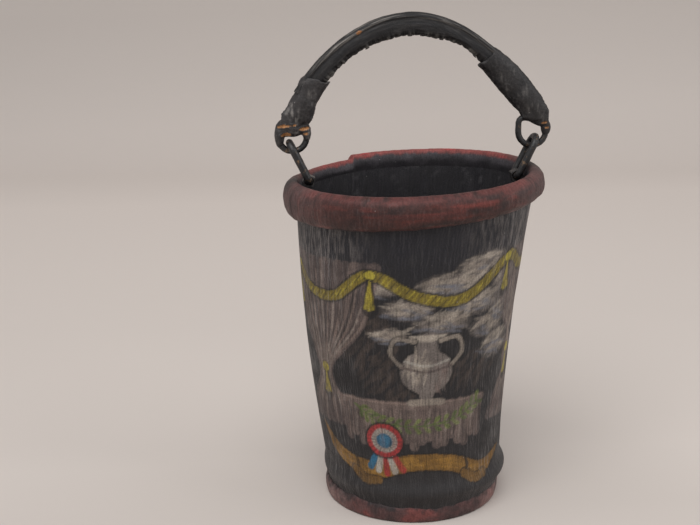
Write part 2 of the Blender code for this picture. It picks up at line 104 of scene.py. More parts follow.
def lattice_values(cell, seed):
    """A fixed random value from -1 to 1 for each lattice corner."""
    key = (cell @ LATTICE_KEYS) ^ (seed * SEED_KEY + SEED_START)
    key = (key ^ (key >> 13)) * FIRST_MIX
    key = (key ^ (key >> 15)) * SECOND_MIX
    return ((key >> 9) & 0xFFFF) / 32767.5 - 1


def value_noise(points, seed):
    """Smooth chance values from -1 to 1 at many points, in lattice steps."""
    cell = np.floor(points).astype(np.int64)
    part = points - cell
    fade = part * part * (3 - 2 * part)
    total = np.zeros(len(points))
    for corner in itertools.product((0, 1), repeat=3):
        weight = np.prod(np.where(np.array(corner), fade, 1 - fade), axis=1)
        total += weight * lattice_values(cell + np.array(corner), seed)
    return total


def mottle(points, size, seed):
    """Layered noise over points of any grid shape; size is one patch in mm, or three for a stretched one."""
    flat = np.asarray(points, float).reshape(-1, np.shape(points)[-1])
    if flat.shape[1] == 2:
        flat = np.column_stack([flat, np.zeros(len(flat))])
    flat = flat / np.broadcast_to(np.asarray(size, float), 3)
    total = 0
    for k, share in enumerate(LAYER_SHARES):
        total = total + share * value_noise(flat * 2**k + LAYER_SHIFT * k, seed + k)
    return (total / sum(LAYER_SHARES)).reshape(np.shape(points)[:-1])


def ramp(value, low, high):
    """0 below low, 1 above high, and smooth in between."""
    part = np.clip((value - low) / (high - low), 0, 1)
    return part * part * (3 - 2 * part)


def hump(value, middle, spread):
    """1 at the middle, and smoothly less to both sides of it."""
    return np.exp(-(((value - middle) / spread) ** 2))


print("noise at one point:", round(float(mottle([[3.2, 1.1, 0.4]], 1, 5)[0]), 3))

# %% [markdown]
# Colours are written as they look on a screen and blended in linear light, as paint mixes. A piece starts
# with one base coat, and each later coat is a colour with a mask of where it lies.

# %% Coats of colour
def linear(*channels):
    """A colour as it is on the screen, from 0 to 255, made into linear light."""
    value = np.array(channels) / 255
    return np.where(value <= 0.04045, value / 12.92, ((value + 0.055) / 1.055) ** 2.4)


def tint(colours, colour, mask):
    """Blends one colour, or a grid of them, into an array of colours where the mask says."""
    return colours + (np.asarray(colour) - colours) * np.asarray(mask)[..., None]


def base_coat(points, *channels):
    """One screen colour at every point of a grid."""
    return np.broadcast_to(linear(*channels), np.shape(points))


def coated(colours, *coats):
    """Blends coats into an array of colours, each a screen colour and its mask."""
    for channels, mask in coats:
        colours = tint(colours, linear(*channels), mask)
    return colours


print("middle grey in linear light:", linear(128, 128, 128).round(3))

# %% [markdown]
# ## Skins over grids of points
#
# The wall, the foot band, the rolled rim, the grip and its rope are all one section carried along a ring or
# an arch. A Screw or Curve modifier could do that, but a grid of points can be bent, dented and coloured
# point by point. Each skin gets a UV map in metres, so that grain has its real scale on every piece.

# %% Smooth lines and skins
def smooth_line(points, count):
    """Even steps on a smooth line through a few points."""
    points = np.asarray(points, float)
    padded = np.vstack([2 * points[0] - points[1], points, 2 * points[-1] - points[-2]])
    place = np.linspace(0, len(points) - 1, count)
    start = np.minimum(place.astype(int), len(points) - 2)
    part = (place - start)[:, None]
    before, here, there, after = (padded[start + k] for k in range(4))
    bend = 2 * before - 5 * here + 4 * there - after
    twist = 3 * here - before - 3 * there + after
    return 0.5 * (2 * here + (there - before) * part + bend * part**2 + twist * part**3)


def show(name, mesh):
    """Links a finished mesh to the scene as a piece."""
    piece = bpy.data.objects.new(name, mesh)
    bpy.context.scene.collection.objects.link(piece)
    return piece


def tube_volume(grid, quads):
    """Six times the signed volume inside a grid's quads and its two end fans."""
    flat = grid.reshape(-1, 3) - grid.reshape(-1, 3).mean(0)
    a, b, c, d = (flat[quads[..., k]] for k in range(4))
    total = (a * np.cross(b, c)).sum() + (a * np.cross(c, d)).sum()
    for ring, sign in ((flat[: grid.shape[1]], -1), (flat[-grid.shape[1] :], 1)):
        total += sign * (ring[0] * np.cross(ring[1:-1], ring[2:])).sum()
    return total


def mean_way(grid, axis):
    """The mean way walked along one axis of a grid, from 0, round and back to its start."""
    hops = np.linalg.norm(np.roll(grid, -1, axis) - grid, axis=2).mean(1 - axis)
    return np.concatenate([[0], np.cumsum(hops)])


def skin(name, grid, joined):
    """A closed piece over a grid in mm. Columns run round; rows join round too, or end in caps."""
    rows, columns = grid.shape[:2]
    index = np.arange(rows * columns).reshape(rows, columns)
    spans = rows if joined else rows - 1
    near = index[:spans]
    far = np.roll(index, -1, axis=0)[:spans]
    quads = np.stack([near, np.roll(near, -1, 1), np.roll(far, -1, 1), far], axis=-1)
    across = mean_way(grid, 1)
    along = mean_way(grid, 0)
    low = along[:spans]
    high = along[1 : spans + 1]
    sheet = np.empty(quads.shape + (2,))
    sheet[..., 0] = np.stack([across[:-1], across[1:], across[1:], across[:-1]], axis=-1)
    sheet[..., 1] = np.stack([low, low, high, high], axis=-1)[:, None]
    caps = [] if joined else [index[0][::-1], index[-1]]
    if tube_volume(grid, quads) < 0:
        quads = quads[..., ::-1]
        sheet = sheet[..., ::-1, :]
        caps = [cap[::-1] for cap in caps]
    faces = quads.reshape(-1, 4).tolist() + [cap.tolist() for cap in caps]
    mesh = bpy.data.meshes.new(name)
    mesh.from_pydata((grid.reshape(-1, 3) * MM).tolist(), [], faces)
    corners = np.concatenate([sheet.reshape(-1, 2), np.zeros((columns * len(caps), 2))]) * MM
    mesh.uv_layers.new(name="sheet").data.foreach_set("uv", corners.ravel())
    mesh.shade_smooth()
    return show(name, mesh)


print("smooth line over a peak:", smooth_line([(0, 0), (1, 1), (2, 0)], 5)[:, 1].round(2))

# %% [markdown]
# A shaped piece is then painted point by point, gets its finish, and is told which body it moves with, and
# the
# CAD nodes that it stands for are hidden.

# %% Paint and finish of a piece
def paint_on(piece, colours, dust_and_sheen=1.0):
    """Keeps a linear colour and a share of dust and painted sheen at every point, for the piece's finish to
    read.
    """
    layer = piece.data.attributes.new("paint", "FLOAT_COLOR", "POINT")
    share = np.broadcast_to(dust_and_sheen, colours.shape[:-1]).reshape(-1)
    layer.data.foreach_set("color", np.column_stack([np.clip(colours.reshape(-1, 3), 0, 1), share]).ravel())


def finish_piece(piece, material, body, slot, *replaced):
    """Gives the piece its material and its body, and hides the CAD nodes that it stands for; slot is not
    used.
    """
    piece.data.materials.append(material)
    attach(piece, body)
    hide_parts(*replaced)
    print(piece.name, len(piece.data.polygons), "faces, on", body)


# %% [markdown]
# ## Leather
#
# Old painted leather shows long streaks and low ridges where the brush and the hide's grain ran, fine pores,
# a mottled grain, cloudy patches of dirt and specks of lint. A picture could hold all that, but it would
# stretch. A node group makes each of them as a plain value from one vector, so that each piece can feed it
# its own UV map or its place, and use the values for colour, roughness and bump.

# %% Shader helpers
def add_node(tree, kind, inputs=None, **settings):
    """A shader node with its settings, input values and links."""
    made = tree.nodes.new("ShaderNode" + kind)
    for name, value in settings.items():
        setattr(made, name, value)
    for name, value in (inputs or {}).items():
        if isinstance(value, bpy.types.NodeSocket):
            tree.links.new(value, made.inputs[name])
        else:
            made.inputs[name].default_value = value
    return made


def add_sockets(tree, way, kind, *names):
    """Named sockets of one kind on a node group, going in or out."""
    for name in names:
        tree.interface.new_socket(name, in_out=way, socket_type="NodeSocket" + kind)


def new_finish(name):
    """An empty material, its node tree and its shader."""
    material = bpy.data.materials.new(name)
    material.use_nodes = True
    return material, material.node_tree, material.node_tree.nodes["Principled BSDF"]


def blend_colours(tree, mask, under, over, mode="MIX"):
    """The colour socket of a mix of two colours."""
    made = add_node(tree, "Mix", {0: mask, 6: under, 7: over}, data_type="RGBA", blend_type=mode)
    return made.outputs[2]


def remap(tree, value, low, high, new_low, new_high):
    """A value moved from one range to another, and held there."""
    ranges = {"From Min": low, "From Max": high, "To Min": new_low, "To Max": new_high}
    return add_node(tree, "MapRange", {"Value": value, **ranges}).outputs["Result"]


def times(tree, first, second):
    """The value socket of a product."""
    return add_node(tree, "Math", {0: first, 1: second}, operation="MULTIPLY").outputs[0]


def noise_value(tree, place, scale, detail, roughness=0.5):
    """The value socket of a noise texture."""
    given = {"Vector": place, "Scale": scale, "Detail": detail, "Roughness": roughness}
    return add_node(tree, "TexNoise", given).outputs["Fac"]


def add_bump(tree, shader, strength, depth, height):
    """Leads a height to a shader's normal, depth in mm."""
    bump = add_node(tree, "Bump", {"Strength": strength, "Distance": depth * MM, "Height": height})
    tree.links.new(bump.outputs["Normal"], shader.inputs["Normal"])


print("shader helpers ready in Blender", bpy.app.version_string)

# %% Leather group
RIDGE_SCALE = 0.3
CLOUDS_PER_METRE = 45.0
GRAINS_PER_METRE = 620.0
PORES_PER_METRE = 1400.0
PORE_DEPTH = 0.25
LINT_PER_METRE = 120.0


def leather_group():
    """Streaks, clouds, a height, grain and specks of lint for painted leather, from one place in metres."""
    group = bpy.data.node_groups.new("leather_skin", "ShaderNodeTree")
    add_sockets(group, "INPUT", "Vector", "Place")
    add_sockets(group, "INPUT", "Float", "Streaks per metre", "Streak run", "Ridge share")
    add_sockets(group, "OUTPUT", "Float", "Streak", "Cloud", "Height", "Grain", "Lint")
    given = group.nodes.new("NodeGroupInput").outputs
    place = given["Place"]
    run = add_node(group, "CombineXYZ", {0: 1.0, 1: given["Streak run"], 2: 1.0})
    drawn = add_node(group, "VectorMath", {0: place, 1: run.outputs[0]}, operation="MULTIPLY")
    streak = noise_value(group, drawn.outputs[0], given["Streaks per metre"], 5.0, 0.62)
    waves = {"Vector": place, "Scale": times(group, given["Streaks per metre"], RIDGE_SCALE)}
    waves.update({"Distortion": 11.0, "Detail": 3.0, "Detail Scale": 0.6})
    ridge = add_node(group, "TexWave", waves).outputs["Fac"]
    combed = add_node(group, "Mix", {0: given["Ridge share"], 2: streak, 3: ridge}).outputs[0]
    pore = add_node(group, "TexVoronoi", {"Vector": place, "Scale": PORES_PER_METRE}).outputs["Distance"]
    pit = times(group, pore, PORE_DEPTH)
    height = add_node(group, "Math", {0: combed, 1: pit}, operation="ADD").outputs[0]
    fleck = add_node(group, "TexVoronoi", {"Vector": place, "Scale": LINT_PER_METRE}).outputs
    chosen = add_node(group, "SeparateXYZ", {0: fleck["Color"]}).outputs["X"]
    spot = remap(group, fleck["Distance"], 0.03, 0.07, 1.0, 0.0)
    grain = noise_value(group, place, GRAINS_PER_METRE, 3.0, 0.7)
    given_back = group.nodes.new("NodeGroupOutput").inputs
    group.links.new(combed, given_back["Streak"])
    group.links.new(noise_value(group, place, CLOUDS_PER_METRE, 6.0, 0.6), given_back["Cloud"])
    group.links.new(height, given_back["Height"])
    group.links.new(remap(group, grain, 0.34, 0.66, 0.74, 1.28), given_back["Grain"])
    group.links.new(times(group, spot, remap(group, chosen, 0.7, 0.75, 0.0, 1.0)), given_back["Lint"])
    return group


LEATHER_SKIN = leather_group()
print("leather group:", len(LEATHER_SKIN.nodes), "nodes")

# %% [markdown]
# The finish reads the colour that is painted on the points, paints shade into the streaks' hollows, lays dust
# and a painted sheen on their crests and breaks up the gloss with the clouds. The same recipe with other
# numbers makes the black wall, the red roll and the soft handle. The straps, tabs and bottom have no UV map,
# so their finish reads the place itself.

# %% Painted leather finish
# painted shade for the streaks' hollows, and dust with a painted sheen for their crests
HOLLOW_SHADE = (0.012, 0.011, 0.012, 1)
DIRT = (0.03, 0.027, 0.026, 1)
DUST_AND_SHEEN = (0.27, 0.25, 0.242, 1)
LINT = (0.4, 0.38, 0.36, 1)
LINT_COVER = 0.6
LEATHER_BUMP = 0.8
LEATHER_SHINE = 0.3


def painted_leather(name, streaks, run, shade, dust_and_sheen, gloss, depth, ridged=0.0, by_sheet=True):
    """Leather: painted shade in hollows, dust and painted sheen on crests, gloss as roughness, depth in mm.
    """
    material, tree, shader = new_finish(name)
    if by_sheet:
        place = add_node(tree, "UVMap", uv_map="sheet").outputs["UV"]
    else:
        place = add_node(tree, "TexCoord").outputs["Object"]
    given = {"Place": place, "Streaks per metre": streaks, "Streak run": run, "Ridge share": ridged}
    hide = add_node(tree, "Group", given, node_tree=LEATHER_SKIN).outputs
    paint = add_node(tree, "Attribute", attribute_name="paint").outputs
    grained = blend_colours(tree, 1.0, paint["Color"], hide["Grain"], "MULTIPLY")
    # painted shade: the streaks' hollows are darkened towards near-black
    deep = blend_colours(tree, remap(tree, hide["Streak"], 0.32, 0.52, shade, 0.0), grained, HOLLOW_SHADE)
    dirty = blend_colours(tree, remap(tree, hide["Cloud"], 0.35, 0.7, 0.0, 0.35), deep, DIRT)
    # dust and a painted sheen: the streaks' crests are paled, as much as the paint's fourth channel allows
    crest = remap(tree, hide["Streak"], 0.5, 0.64, 0.0, dust_and_sheen)
    patches = remap(tree, hide["Cloud"], 0.38, 0.6, 1.0, 0.3)
    crest_dust_and_sheen = times(tree, times(tree, crest, patches), paint["Alpha"])
    pale = blend_colours(tree, crest_dust_and_sheen, dirty, DUST_AND_SHEEN)
    colour = blend_colours(tree, times(tree, hide["Lint"], LINT_COVER), pale, LINT)
    tree.links.new(colour, shader.inputs["Base Color"])
    rough = remap(tree, hide["Cloud"], 0.3, 0.7, gloss - 0.1, gloss + 0.12)
    tree.links.new(rough, shader.inputs["Roughness"])
    add_bump(tree, shader, LEATHER_BUMP, depth, hide["Height"])
    shader.inputs["Specular IOR Level"].default_value = LEATHER_SHINE
    return material


WALL_LEATHER = painted_leather(
    "painted_wall_leather", streaks=430, run=0.07, shade=0.42, dust_and_sheen=0.56, gloss=0.52, depth=1.6, ridged=0.11
)
RIM_LEATHER = painted_leather(
    "red_rim_leather", streaks=480, run=0.3, shade=0.42, dust_and_sheen=0.1, gloss=0.52, depth=0.7
)
GRIP_LEATHER = painted_leather(
    "black_grip_leather", streaks=480, run=0.12, shade=0.5, dust_and_sheen=0.1, gloss=0.55, depth=0.7
)
STRAP_LEATHER = painted_leather(
    "black_strap_leather", streaks=420, run=0.5, shade=0.34, dust_and_sheen=0.1, gloss=0.43, depth=0.6, by_sheet=False
)
print("leather finishes: wall, rim, grip, strap")

# %% [markdown]
# ## Wall
#
# The wall is one sheet of thick leather, bent into a cone and lapped at the back. It swells over the
# edge of the bottom near the foot. A perfect cone would look turned on a lathe, so the rings bow a little
# to one side, the mouth tilts, and slow noise dents the sheet. Points lie close together on the front,
# where the paint is.

# %% Wall sizes and lean
BASE_RADIUS = 81.6
FLARE = 0.0972
SWELL = 4.4
SWELL_HEIGHT = 30.0
SWELL_SPREAD = 9.0
WALL_THICKNESS = 4.0
WALL_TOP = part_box("bucket_wall")[1].z / MM - 8
BOW = -4.5
BOW_SPAN = (40, 285)
TILT = math.tan(math.radians(2.3))
TILT_SPAN = (150, 300)
BACK_LIFT = 1.0
SLOW_DENT = 0.9
FINE_DENT = 0.25
PHOTO_BACK = np.array([-PHOTO_RIGHT[1], PHOTO_RIGHT[0], 0])


def wall_radius(height):
    """The wall's outside, as in the part."""
    return BASE_RADIUS + FLARE * height + SWELL * hump(height, SWELL_HEIGHT, SWELL_SPREAD)


def wall_dents(points):
    """How far the sheet stands out of a true cone at some points."""
    return SLOW_DENT * mottle(points, 70, 11) + FINE_DENT * mottle(points, (9, 9, 60), 12)


def turned_from(angle, middle):
    """How far an angle is turned from a middle, up to half a turn either way."""
    return (angle - middle + math.pi) % (2 * math.pi) - math.pi


def ring_point(radius, angle, height):
    """Points from a radius, an angle and a height, all grids of one shape."""
    return np.stack([radius * np.cos(angle), radius * np.sin(angle), height + 0 * radius], axis=-1)


def settle(points):
    """The hand-made lean of the bucket: a bow of the wall and a tilt of the mouth."""
    height = points[..., 2]
    part = np.clip((height - BOW_SPAN[0]) / (BOW_SPAN[1] - BOW_SPAN[0]), 0, 1)
    moved = points + (BOW * np.sin(np.pi * part))[..., None] * PHOTO_RIGHT
    moved[..., 2] += ramp(height, *TILT_SPAN) * TILT * (points @ PHOTO_RIGHT)
    moved[..., 2] += ramp(height, *TILT_SPAN) * BACK_LIFT * ramp(points @ PHOTO_BACK, 0, 110)
    return moved


print("wall radius at the foot and the top:", round(wall_radius(0), 1), round(wall_radius(WALL_TOP), 1))

# %% [markdown]
# The grid runs up the outside, over the top and down the inside. At the seam the sheet steps out by its
# lap, so a few columns stand close together there.

# %% Wall grid
SEAM_ANGLE = math.radians(115)
SEAM_STEP = 1.6
SWELL_TO_RIGHT = 1.6
FRONT_STEP = 0.7
BACK_STEP = 2.2
SEAM_GRID_STEP = 0.5
PAINT_STEP = 1.35
INSIDE_STEP = -3.2
DEEP_STEP = -12
front = FRONT_ANGLE + np.radians(np.arange(-100, 100, FRONT_STEP))
back = FRONT_ANGLE + np.radians(np.arange(100, 260, BACK_STEP))
near_seam = SEAM_ANGLE + np.radians(np.arange(-6, 6, SEAM_GRID_STEP))
wall_angles = np.unique(np.round(np.concatenate([front, back, near_seam]) % (2 * math.pi), 4))
under_rim = np.arange(286, 302, 4)
outer_heights = np.concatenate([[1, 3, 6, 9, 12], np.arange(15, 284, PAINT_STEP), under_rim, [WALL_TOP]])
inner_heights = np.concatenate([np.arange(WALL_TOP, 225, INSIDE_STEP), np.arange(220, 5, DEEP_STEP), [2]])
wall_heights = np.concatenate([outer_heights, inner_heights])
is_outer = np.arange(len(wall_heights)) < len(outer_heights)
height_grid, angle_grid = np.meshgrid(wall_heights, wall_angles, indexing="ij")
radius_grid = wall_radius(height_grid) - np.where(is_outer, 0, WALL_THICKNESS)[:, None]
past_seam = turned_from(angle_grid, SEAM_ANGLE)
lap = ramp(past_seam, -0.012, 0.004) * (1 - ramp(past_seam, 0.16, 0.3))
radius_grid = radius_grid + SEAM_STEP * lap * is_outer[:, None]
true_places = ring_point(radius_grid, angle_grid, height_grid)
radius_grid = radius_grid + wall_dents(true_places)
to_right = ring_point(np.ones_like(radius_grid), angle_grid, 0 * angle_grid) @ PHOTO_RIGHT
radius_grid = radius_grid + SWELL_TO_RIGHT * to_right * hump(height_grid, SWELL_HEIGHT, SWELL_SPREAD)
wall_grid = settle(ring_point(radius_grid, angle_grid, height_grid))
wall = skin("painted_wall", wall_grid, joined=True)
wall_reach = np.hypot(wall_grid[..., 0], wall_grid[..., 1]).max()
print("wall grid", wall_grid.shape[:2], "reaches", round(float(wall_reach), 1))

# %% [markdown]
# ## Paint on the wall
#
# The front was painted by hand with a loaded brush. Here the picture is a plain stage set: brown curtains
# with a yellow rope, clouds, a stone urn on a draped table, laurel, a cockade and a bare ribbon. A stroke
# could be a strip of mesh, but paint has no thickness to speak of, so it colours the wall's own points. Each
# stroke is a line with a width. The mask is how deep a point lies inside the stroke, torn by noise and
# broken by the leather's upright ridges, as paint is that skips over a rough sheet.

# %% Brush
BRUSH_EDGE = 0.9
BRUSH_TEAR = 0.8
BRUSH_MARGIN = 3
SHADE_CHANCE = 0.12
SHADE_TEAR = 0.22


class Brush:
    """A painter's brush on the wall's outside: places in mm across and up, colours in linear light."""

    def __init__(self, place, colours, seed):
        self.place = place
        self.colours = colours
        self.torn = mottle(place, 5, seed)
        ridges = ramp(mottle(place, (2.6, 34, 1), seed + 7), -0.1, 0.5)
        self.skips = ridges * (0.25 + 0.35 * ramp(np.abs(place[:, 0]), 45, 105))
        self.chance = np.random.default_rng(seed)

    def lay(self, near, depth, colour, cover):
        """Covers the near points as deep as they lie inside a stroke."""
        mask = np.clip(depth / BRUSH_EDGE + 0.5 + BRUSH_TEAR * self.torn[near], 0, 1) * cover
        mask = mask * (1 - self.skips[near])
        shade = 1 + self.chance.uniform(-SHADE_CHANCE, SHADE_CHANCE) + SHADE_TEAR * self.torn[near]
        wanted = np.asarray(colour) * shade[:, None]
        self.colours[near] += mask[:, None] * (wanted - self.colours[near])

    def near(self, low, high, reach):
        """The points in a box with a margin."""
        inside = (self.place > np.array(low) - reach) & (self.place < np.array(high) + reach)
        return np.flatnonzero(inside.all(axis=1))

    def stroke(self, line, width, colour, cover=0.95):
        """A stroke along a line; width is half of its breadth, one number or one for each point."""
        line = np.asarray(line, float)
        spread = np.linspace(0, 1, np.size(width))
        widths = np.interp(np.linspace(0, 1, len(line)), spread, np.atleast_1d(width))
        near = self.near(line.min(0), line.max(0), widths.max() + BRUSH_MARGIN)
        place = self.place[near]
        depth = np.full(len(near), -99.0)
        for start, end, wide, wide_after in zip(line, line[1:], widths, widths[1:]):
            run = end - start
            part = np.clip(((place - start) @ run) / max(run @ run, 1e-9), 0, 1)
            gap = np.linalg.norm(place - start - part[:, None] * run, axis=1)
            depth = np.maximum(depth, wide + (wide_after - wide) * part - gap)
        self.lay(near, depth, colour, cover)

    def oval(self, centre, radii, colour, cover=0.95):
        """A filled oval."""
        centre = np.asarray(centre, float)
        radii = np.asarray(radii, float)
        near = self.near(centre - radii, centre + radii, BRUSH_MARGIN)
        out = np.linalg.norm((self.place[near] - centre) / radii, axis=1)
        self.lay(near, (1 - out) * radii.min(), colour, cover)

    def dabs(self, centre, radii, lean, length, width, colours, count, cover=0.6):
        """Short strokes scattered in an oval, all leaning one way."""
        for _ in range(count):
            turn = self.chance.uniform(0, 2 * math.pi)
            out = math.sqrt(self.chance.uniform(0, 1))
            middle = np.array(centre) + out * np.array(radii) * (math.cos(turn), math.sin(turn))
            way = lean + self.chance.normal(0, 0.25)
            half = length * self.chance.uniform(0.6, 1.3) / 2 * np.array([math.cos(way), math.sin(way)])
            colour = colours[self.chance.integers(len(colours))]
            self.stroke([middle - half, middle, middle + half], [0.4, width, 0.4], colour, cover)


print("brush ready")

# %% [markdown]
# The ground goes on first: black, a little warm near the foot, and darker and bluer under the rim as painted
# shade and a cool painted sheen. Pale upright streaks at the two sides under the rim are partly painted
# highlights on the ridges. The inside is bare black suede, painted lighter towards the mouth as light falling
# in. The brush works only on the dense outside points.

# %% Black ground
ACROSS_RADIUS = 95.0
PAINTED_TURN = math.radians(112)
from_front = turned_from(angle_grid, FRONT_ANGLE)
turned = np.abs(from_front)
at_side = ramp(turned, 0.25, 0.8) * (1 - 0.7 * ramp(turned, 1.5, 2.2))
# pale upright streaks at the two sides, partly a painted highlight on the ridges
streaks_and_sheen = ramp(mottle(true_places, (1.5, 1.5, 17), 25), -0.2, 0.4) * at_side
inside = ~is_outer[:, None] * np.ones(len(wall_angles))
ground = coated(
    base_coat(wall_grid, 36, 34, 36),
    # painted shade and a cool painted sheen under the rim
    ((32, 32, 40), ramp(height_grid, 200, 285) * 0.8),
    ((59, 56, 56), (1 - ramp(height_grid, 20, 120)) * 0.55),
    ((66, 63, 63), ramp(mottle(true_places, (2.4, 2.4, 22), 21), 0.1, 0.7) * 0.35),
    # pale streaks under the rim at the sides, partly painted highlight
    ((120, 113, 110), streaks_and_sheen * ramp(height_grid, 205, 270) * 0.8),
    ((29, 27, 30), inside),
    # painted light: the inside is lighter towards the mouth, darker deeper down
    ((52, 49, 53), inside * ramp(height_grid, 235, 300) * 0.45),
    ((54, 51, 54), inside * ramp(mottle(true_places, (7, 7, 10), 24), 0.0, 0.5) * 0.5),
    ((84, 80, 82), inside * ramp(mottle(true_places, (3.2, 3.2, 5), 27), 0.2, 0.5) * 0.55),
)
canvas = is_outer[:, None] & (turned < PAINTED_TURN)
cloth_places = np.stack([from_front[canvas] * ACROSS_RADIUS, height_grid[canvas]], axis=-1)
brush = Brush(cloth_places, ground[canvas], 5)
print("painted points:", len(cloth_places))

# %% [markdown]
# The picture has a few families of colour. Each is a short list of neighbouring shades, because a brush that
# is loaded anew never gives the same colour twice. The clouds come first, since all else hangs in front of
# them: brown smoke, then grey puffs, pale above and dark below.

# %% Colours of the picture
GREYS = [linear(150, 138, 126), linear(176, 164, 150), linear(122, 112, 106), linear(112, 114, 124)]
BROWNS = [linear(106, 91, 86), linear(92, 79, 76), linear(123, 106, 99), linear(81, 70, 68)]
FOLD_LIGHTS = [linear(148, 128, 117), linear(168, 153, 142)]
YELLOWS = [linear(168, 152, 50), linear(188, 172, 62), linear(140, 122, 44)]
OCHRES = [linear(146, 106, 46), linear(164, 122, 54), linear(126, 92, 44)]
LEAVES = [linear(112, 126, 62), linear(92, 108, 56), linear(132, 142, 84)]
OUTLINE = linear(26, 24, 24)
RED = linear(172, 56, 56)
BLUE = linear(46, 108, 140)
WHITE = linear(172, 166, 156)
print("picture colours:", len(GREYS + BROWNS + FOLD_LIGHTS + YELLOWS + OCHRES + LEAVES) + 4)

# %% Clouds
PUFFS = [
    (64, 246, 32, 15), (28, 234, 28, 13), (92, 228, 20, 18), (58, 216, 30, 12), (-6, 214, 22, 10),
    (24, 200, 26, 10), (-32, 232, 16, 7), (70, 190, 20, 10), (-22, 188, 16, 8), (92, 204, 20, 13),
    (84, 170, 20, 13),
]
SMOKE = [(-40, 168, 30, 22), (-44, 200, 22, 14), (56, 150, 28, 18), (-18, 140, 26, 14)]
SMOKE_BROWNS = [linear(80, 68, 61), linear(64, 55, 51)]
for across, up, wide, tall in SMOKE:
    brush.dabs((across, up), (wide, tall), 0.9, 18, 2.4, SMOKE_BROWNS, 34, 0.45)
for across, up, wide, tall in PUFFS:
    brush.oval((across, up), (wide * 1.05, tall * 1.05), GREYS[2] * 0.5, 0.6)
    brush.oval((across + 1, up + 1), (wide * 0.85, tall * 0.8), GREYS[2] * 0.85, 0.6)
    brush.dabs((across + 2, up + 3), (wide * 0.9, tall * 0.7), 0.3, 16, 1.9, GREYS[:2], int(wide * 1.5), 0.5)
    shaded = (across, up - tall * 0.4)
    brush.dabs(shaded, (wide * 0.9, tall * 0.5), -0.1, 14, 1.6, GREYS[2:], int(wide * 0.8), 0.5)
print("clouds", len(PUFFS))

# %% [markdown]
# A curtain is a bundle of folds. Each fold runs from the top edge to the tie, where all of them crowd, and on
# to the hem. Broad brown strokes come first, then dark valleys and pale ridges beside each other.


# %% Curtains and table cloth
def hang(top, tie, hem, count):
    """Paints a curtain from a top edge, through a tie, to a hem. An edge is its two ends in mm."""
    for stage, colours in enumerate((BROWNS, [OUTLINE], FOLD_LIGHTS)):
        for k in range(count):
            part = (k + 0.3 * stage) / (count - 1)
            start = np.array(top[0]) + part * (np.array(top[1]) - top[0])
            waist = np.array(tie) + (part - 0.5) * np.array([15, 4])
            end = np.array(hem[0]) + part * (np.array(hem[1]) - hem[0])
            belly = 0.55 * start + 0.45 * waist + np.array([0.14 * (start[0] - waist[0]), -10])
            line = smooth_line([start, belly, waist, 0.4 * waist + 0.6 * end, end], 26)
            if stage == 0:
                brush.stroke(line, [6, 6.5, 3, 4.5, 5], colours[k % 4], 0.85)
            else:
                cut = line[brush.chance.integers(0, 7) : brush.chance.integers(18, 26)]
                brush.stroke(cut, [0.4, 1.3, 0.9, 1.1, 0.3], colours[k % len(colours)], 0.56)


hang([(-134, 250), (-34, 252)], (-92, 146), [(-128, 92), (-70, 96)], 13)
hang([(136, 252), (84, 250)], (112, 158), [(136, 92), (84, 98)], 10)
for k in range(19):
    across = -66 + 7.4 * k
    low = 84 + 5 * math.sin(1.9 * k)
    fall = smooth_line([(across, 120), (across + 2 * math.sin(k), 104), (across - 1, low)], 12)
    brush.stroke(fall, [5.5, 5, 4.5], BROWNS[(2 * k) % 4], 0.85)
    brush.stroke(fall + np.array([3.2, 0]), [0.4, 1.3, 0.8], OUTLINE, 0.45)
    brush.stroke(fall + np.array([0.4, 0]), [0.3, 1.1, 0.4], FOLD_LIGHTS[k % 2], 0.35)
brush.stroke([(-72, 121), (72, 121)], 3.4, BROWNS[2], 0.85)
brush.stroke([(-70, 123), (70, 123)], 0.9, FOLD_LIGHTS[0], 0.6)
print("curtains and cloth painted")

# %% [markdown]
# The urn, the laurel and the ribbon are drawn as a sign painter would: a dark outline a little too large, the
# flat shape over it, then lights and shades. The order of the strokes does what layers of mesh would do.

# %% Urn
URN = np.array([12, 154])
brush.oval(URN, (26, 24), OUTLINE, 0.85)
brush.oval(URN, (23.5, 21.5), GREYS[2], 0.95)
brush.stroke([URN + (0, 14), URN + (0, 30)], [12, 8], GREYS[2])
brush.stroke([URN + (-14, 33), URN + (14, 33)], 3.0, GREYS[1])
brush.stroke([URN + (0, -18), URN + (0, -27)], [8, 5], GREYS[2])
brush.stroke([URN + (-15, -30), URN + (15, -30)], 3.2, GREYS[0])
for side in (-1, 1):
    bend = URN + np.array([(11, 30), (27, 32), (32, 18), (22, 5)]) * (side, 1)
    brush.stroke(smooth_line(bend, 16), 3.0, OUTLINE, 0.8)
    brush.stroke(smooth_line(bend, 16), 1.9, GREYS[0])
brush.dabs(URN + (-8, 3), (11, 15), 1.35, 15, 1.8, GREYS[:2], 22, 0.65)
brush.dabs(URN + (13, -5), (8, 15), 1.75, 15, 1.8, [BROWNS[2], GREYS[2]], 18, 0.7)
brush.stroke(smooth_line([URN + (-22, 5), URN + (0, 0), URN + (22, 5)], 12), 1.3, BROWNS[1], 0.85)
brush.stroke(smooth_line([URN + (-20, 11), URN + (0, 6), URN + (20, 11)], 12), 0.9, WHITE, 0.7)
print("urn painted")

# %% Laurel
stem = smooth_line([(-58, 118), (-34, 104), (2, 100), (40, 105), (66, 120)], 34)
brush.stroke(stem, 0.9, LEAVES[1], 0.9)
for k in range(2, 33, 2):
    for out in (-1, 1):
        way = stem[min(k + 1, 33)] - stem[k - 1]
        way = way / np.linalg.norm(way)
        tip = stem[k] + 7.5 * way + out * 7 * np.array([-way[1], way[0]])
        leaf = smooth_line([stem[k], stem[k] * 0.45 + tip * 0.55 + out * np.array([0, 1.2]), tip], 8)
        brush.stroke(leaf, [0.5, 2.4, 0.4], LEAVES[(k + out) % 3], 0.85)
        brush.stroke(leaf, 0.35, OUTLINE, 0.5)
print("laurel painted")

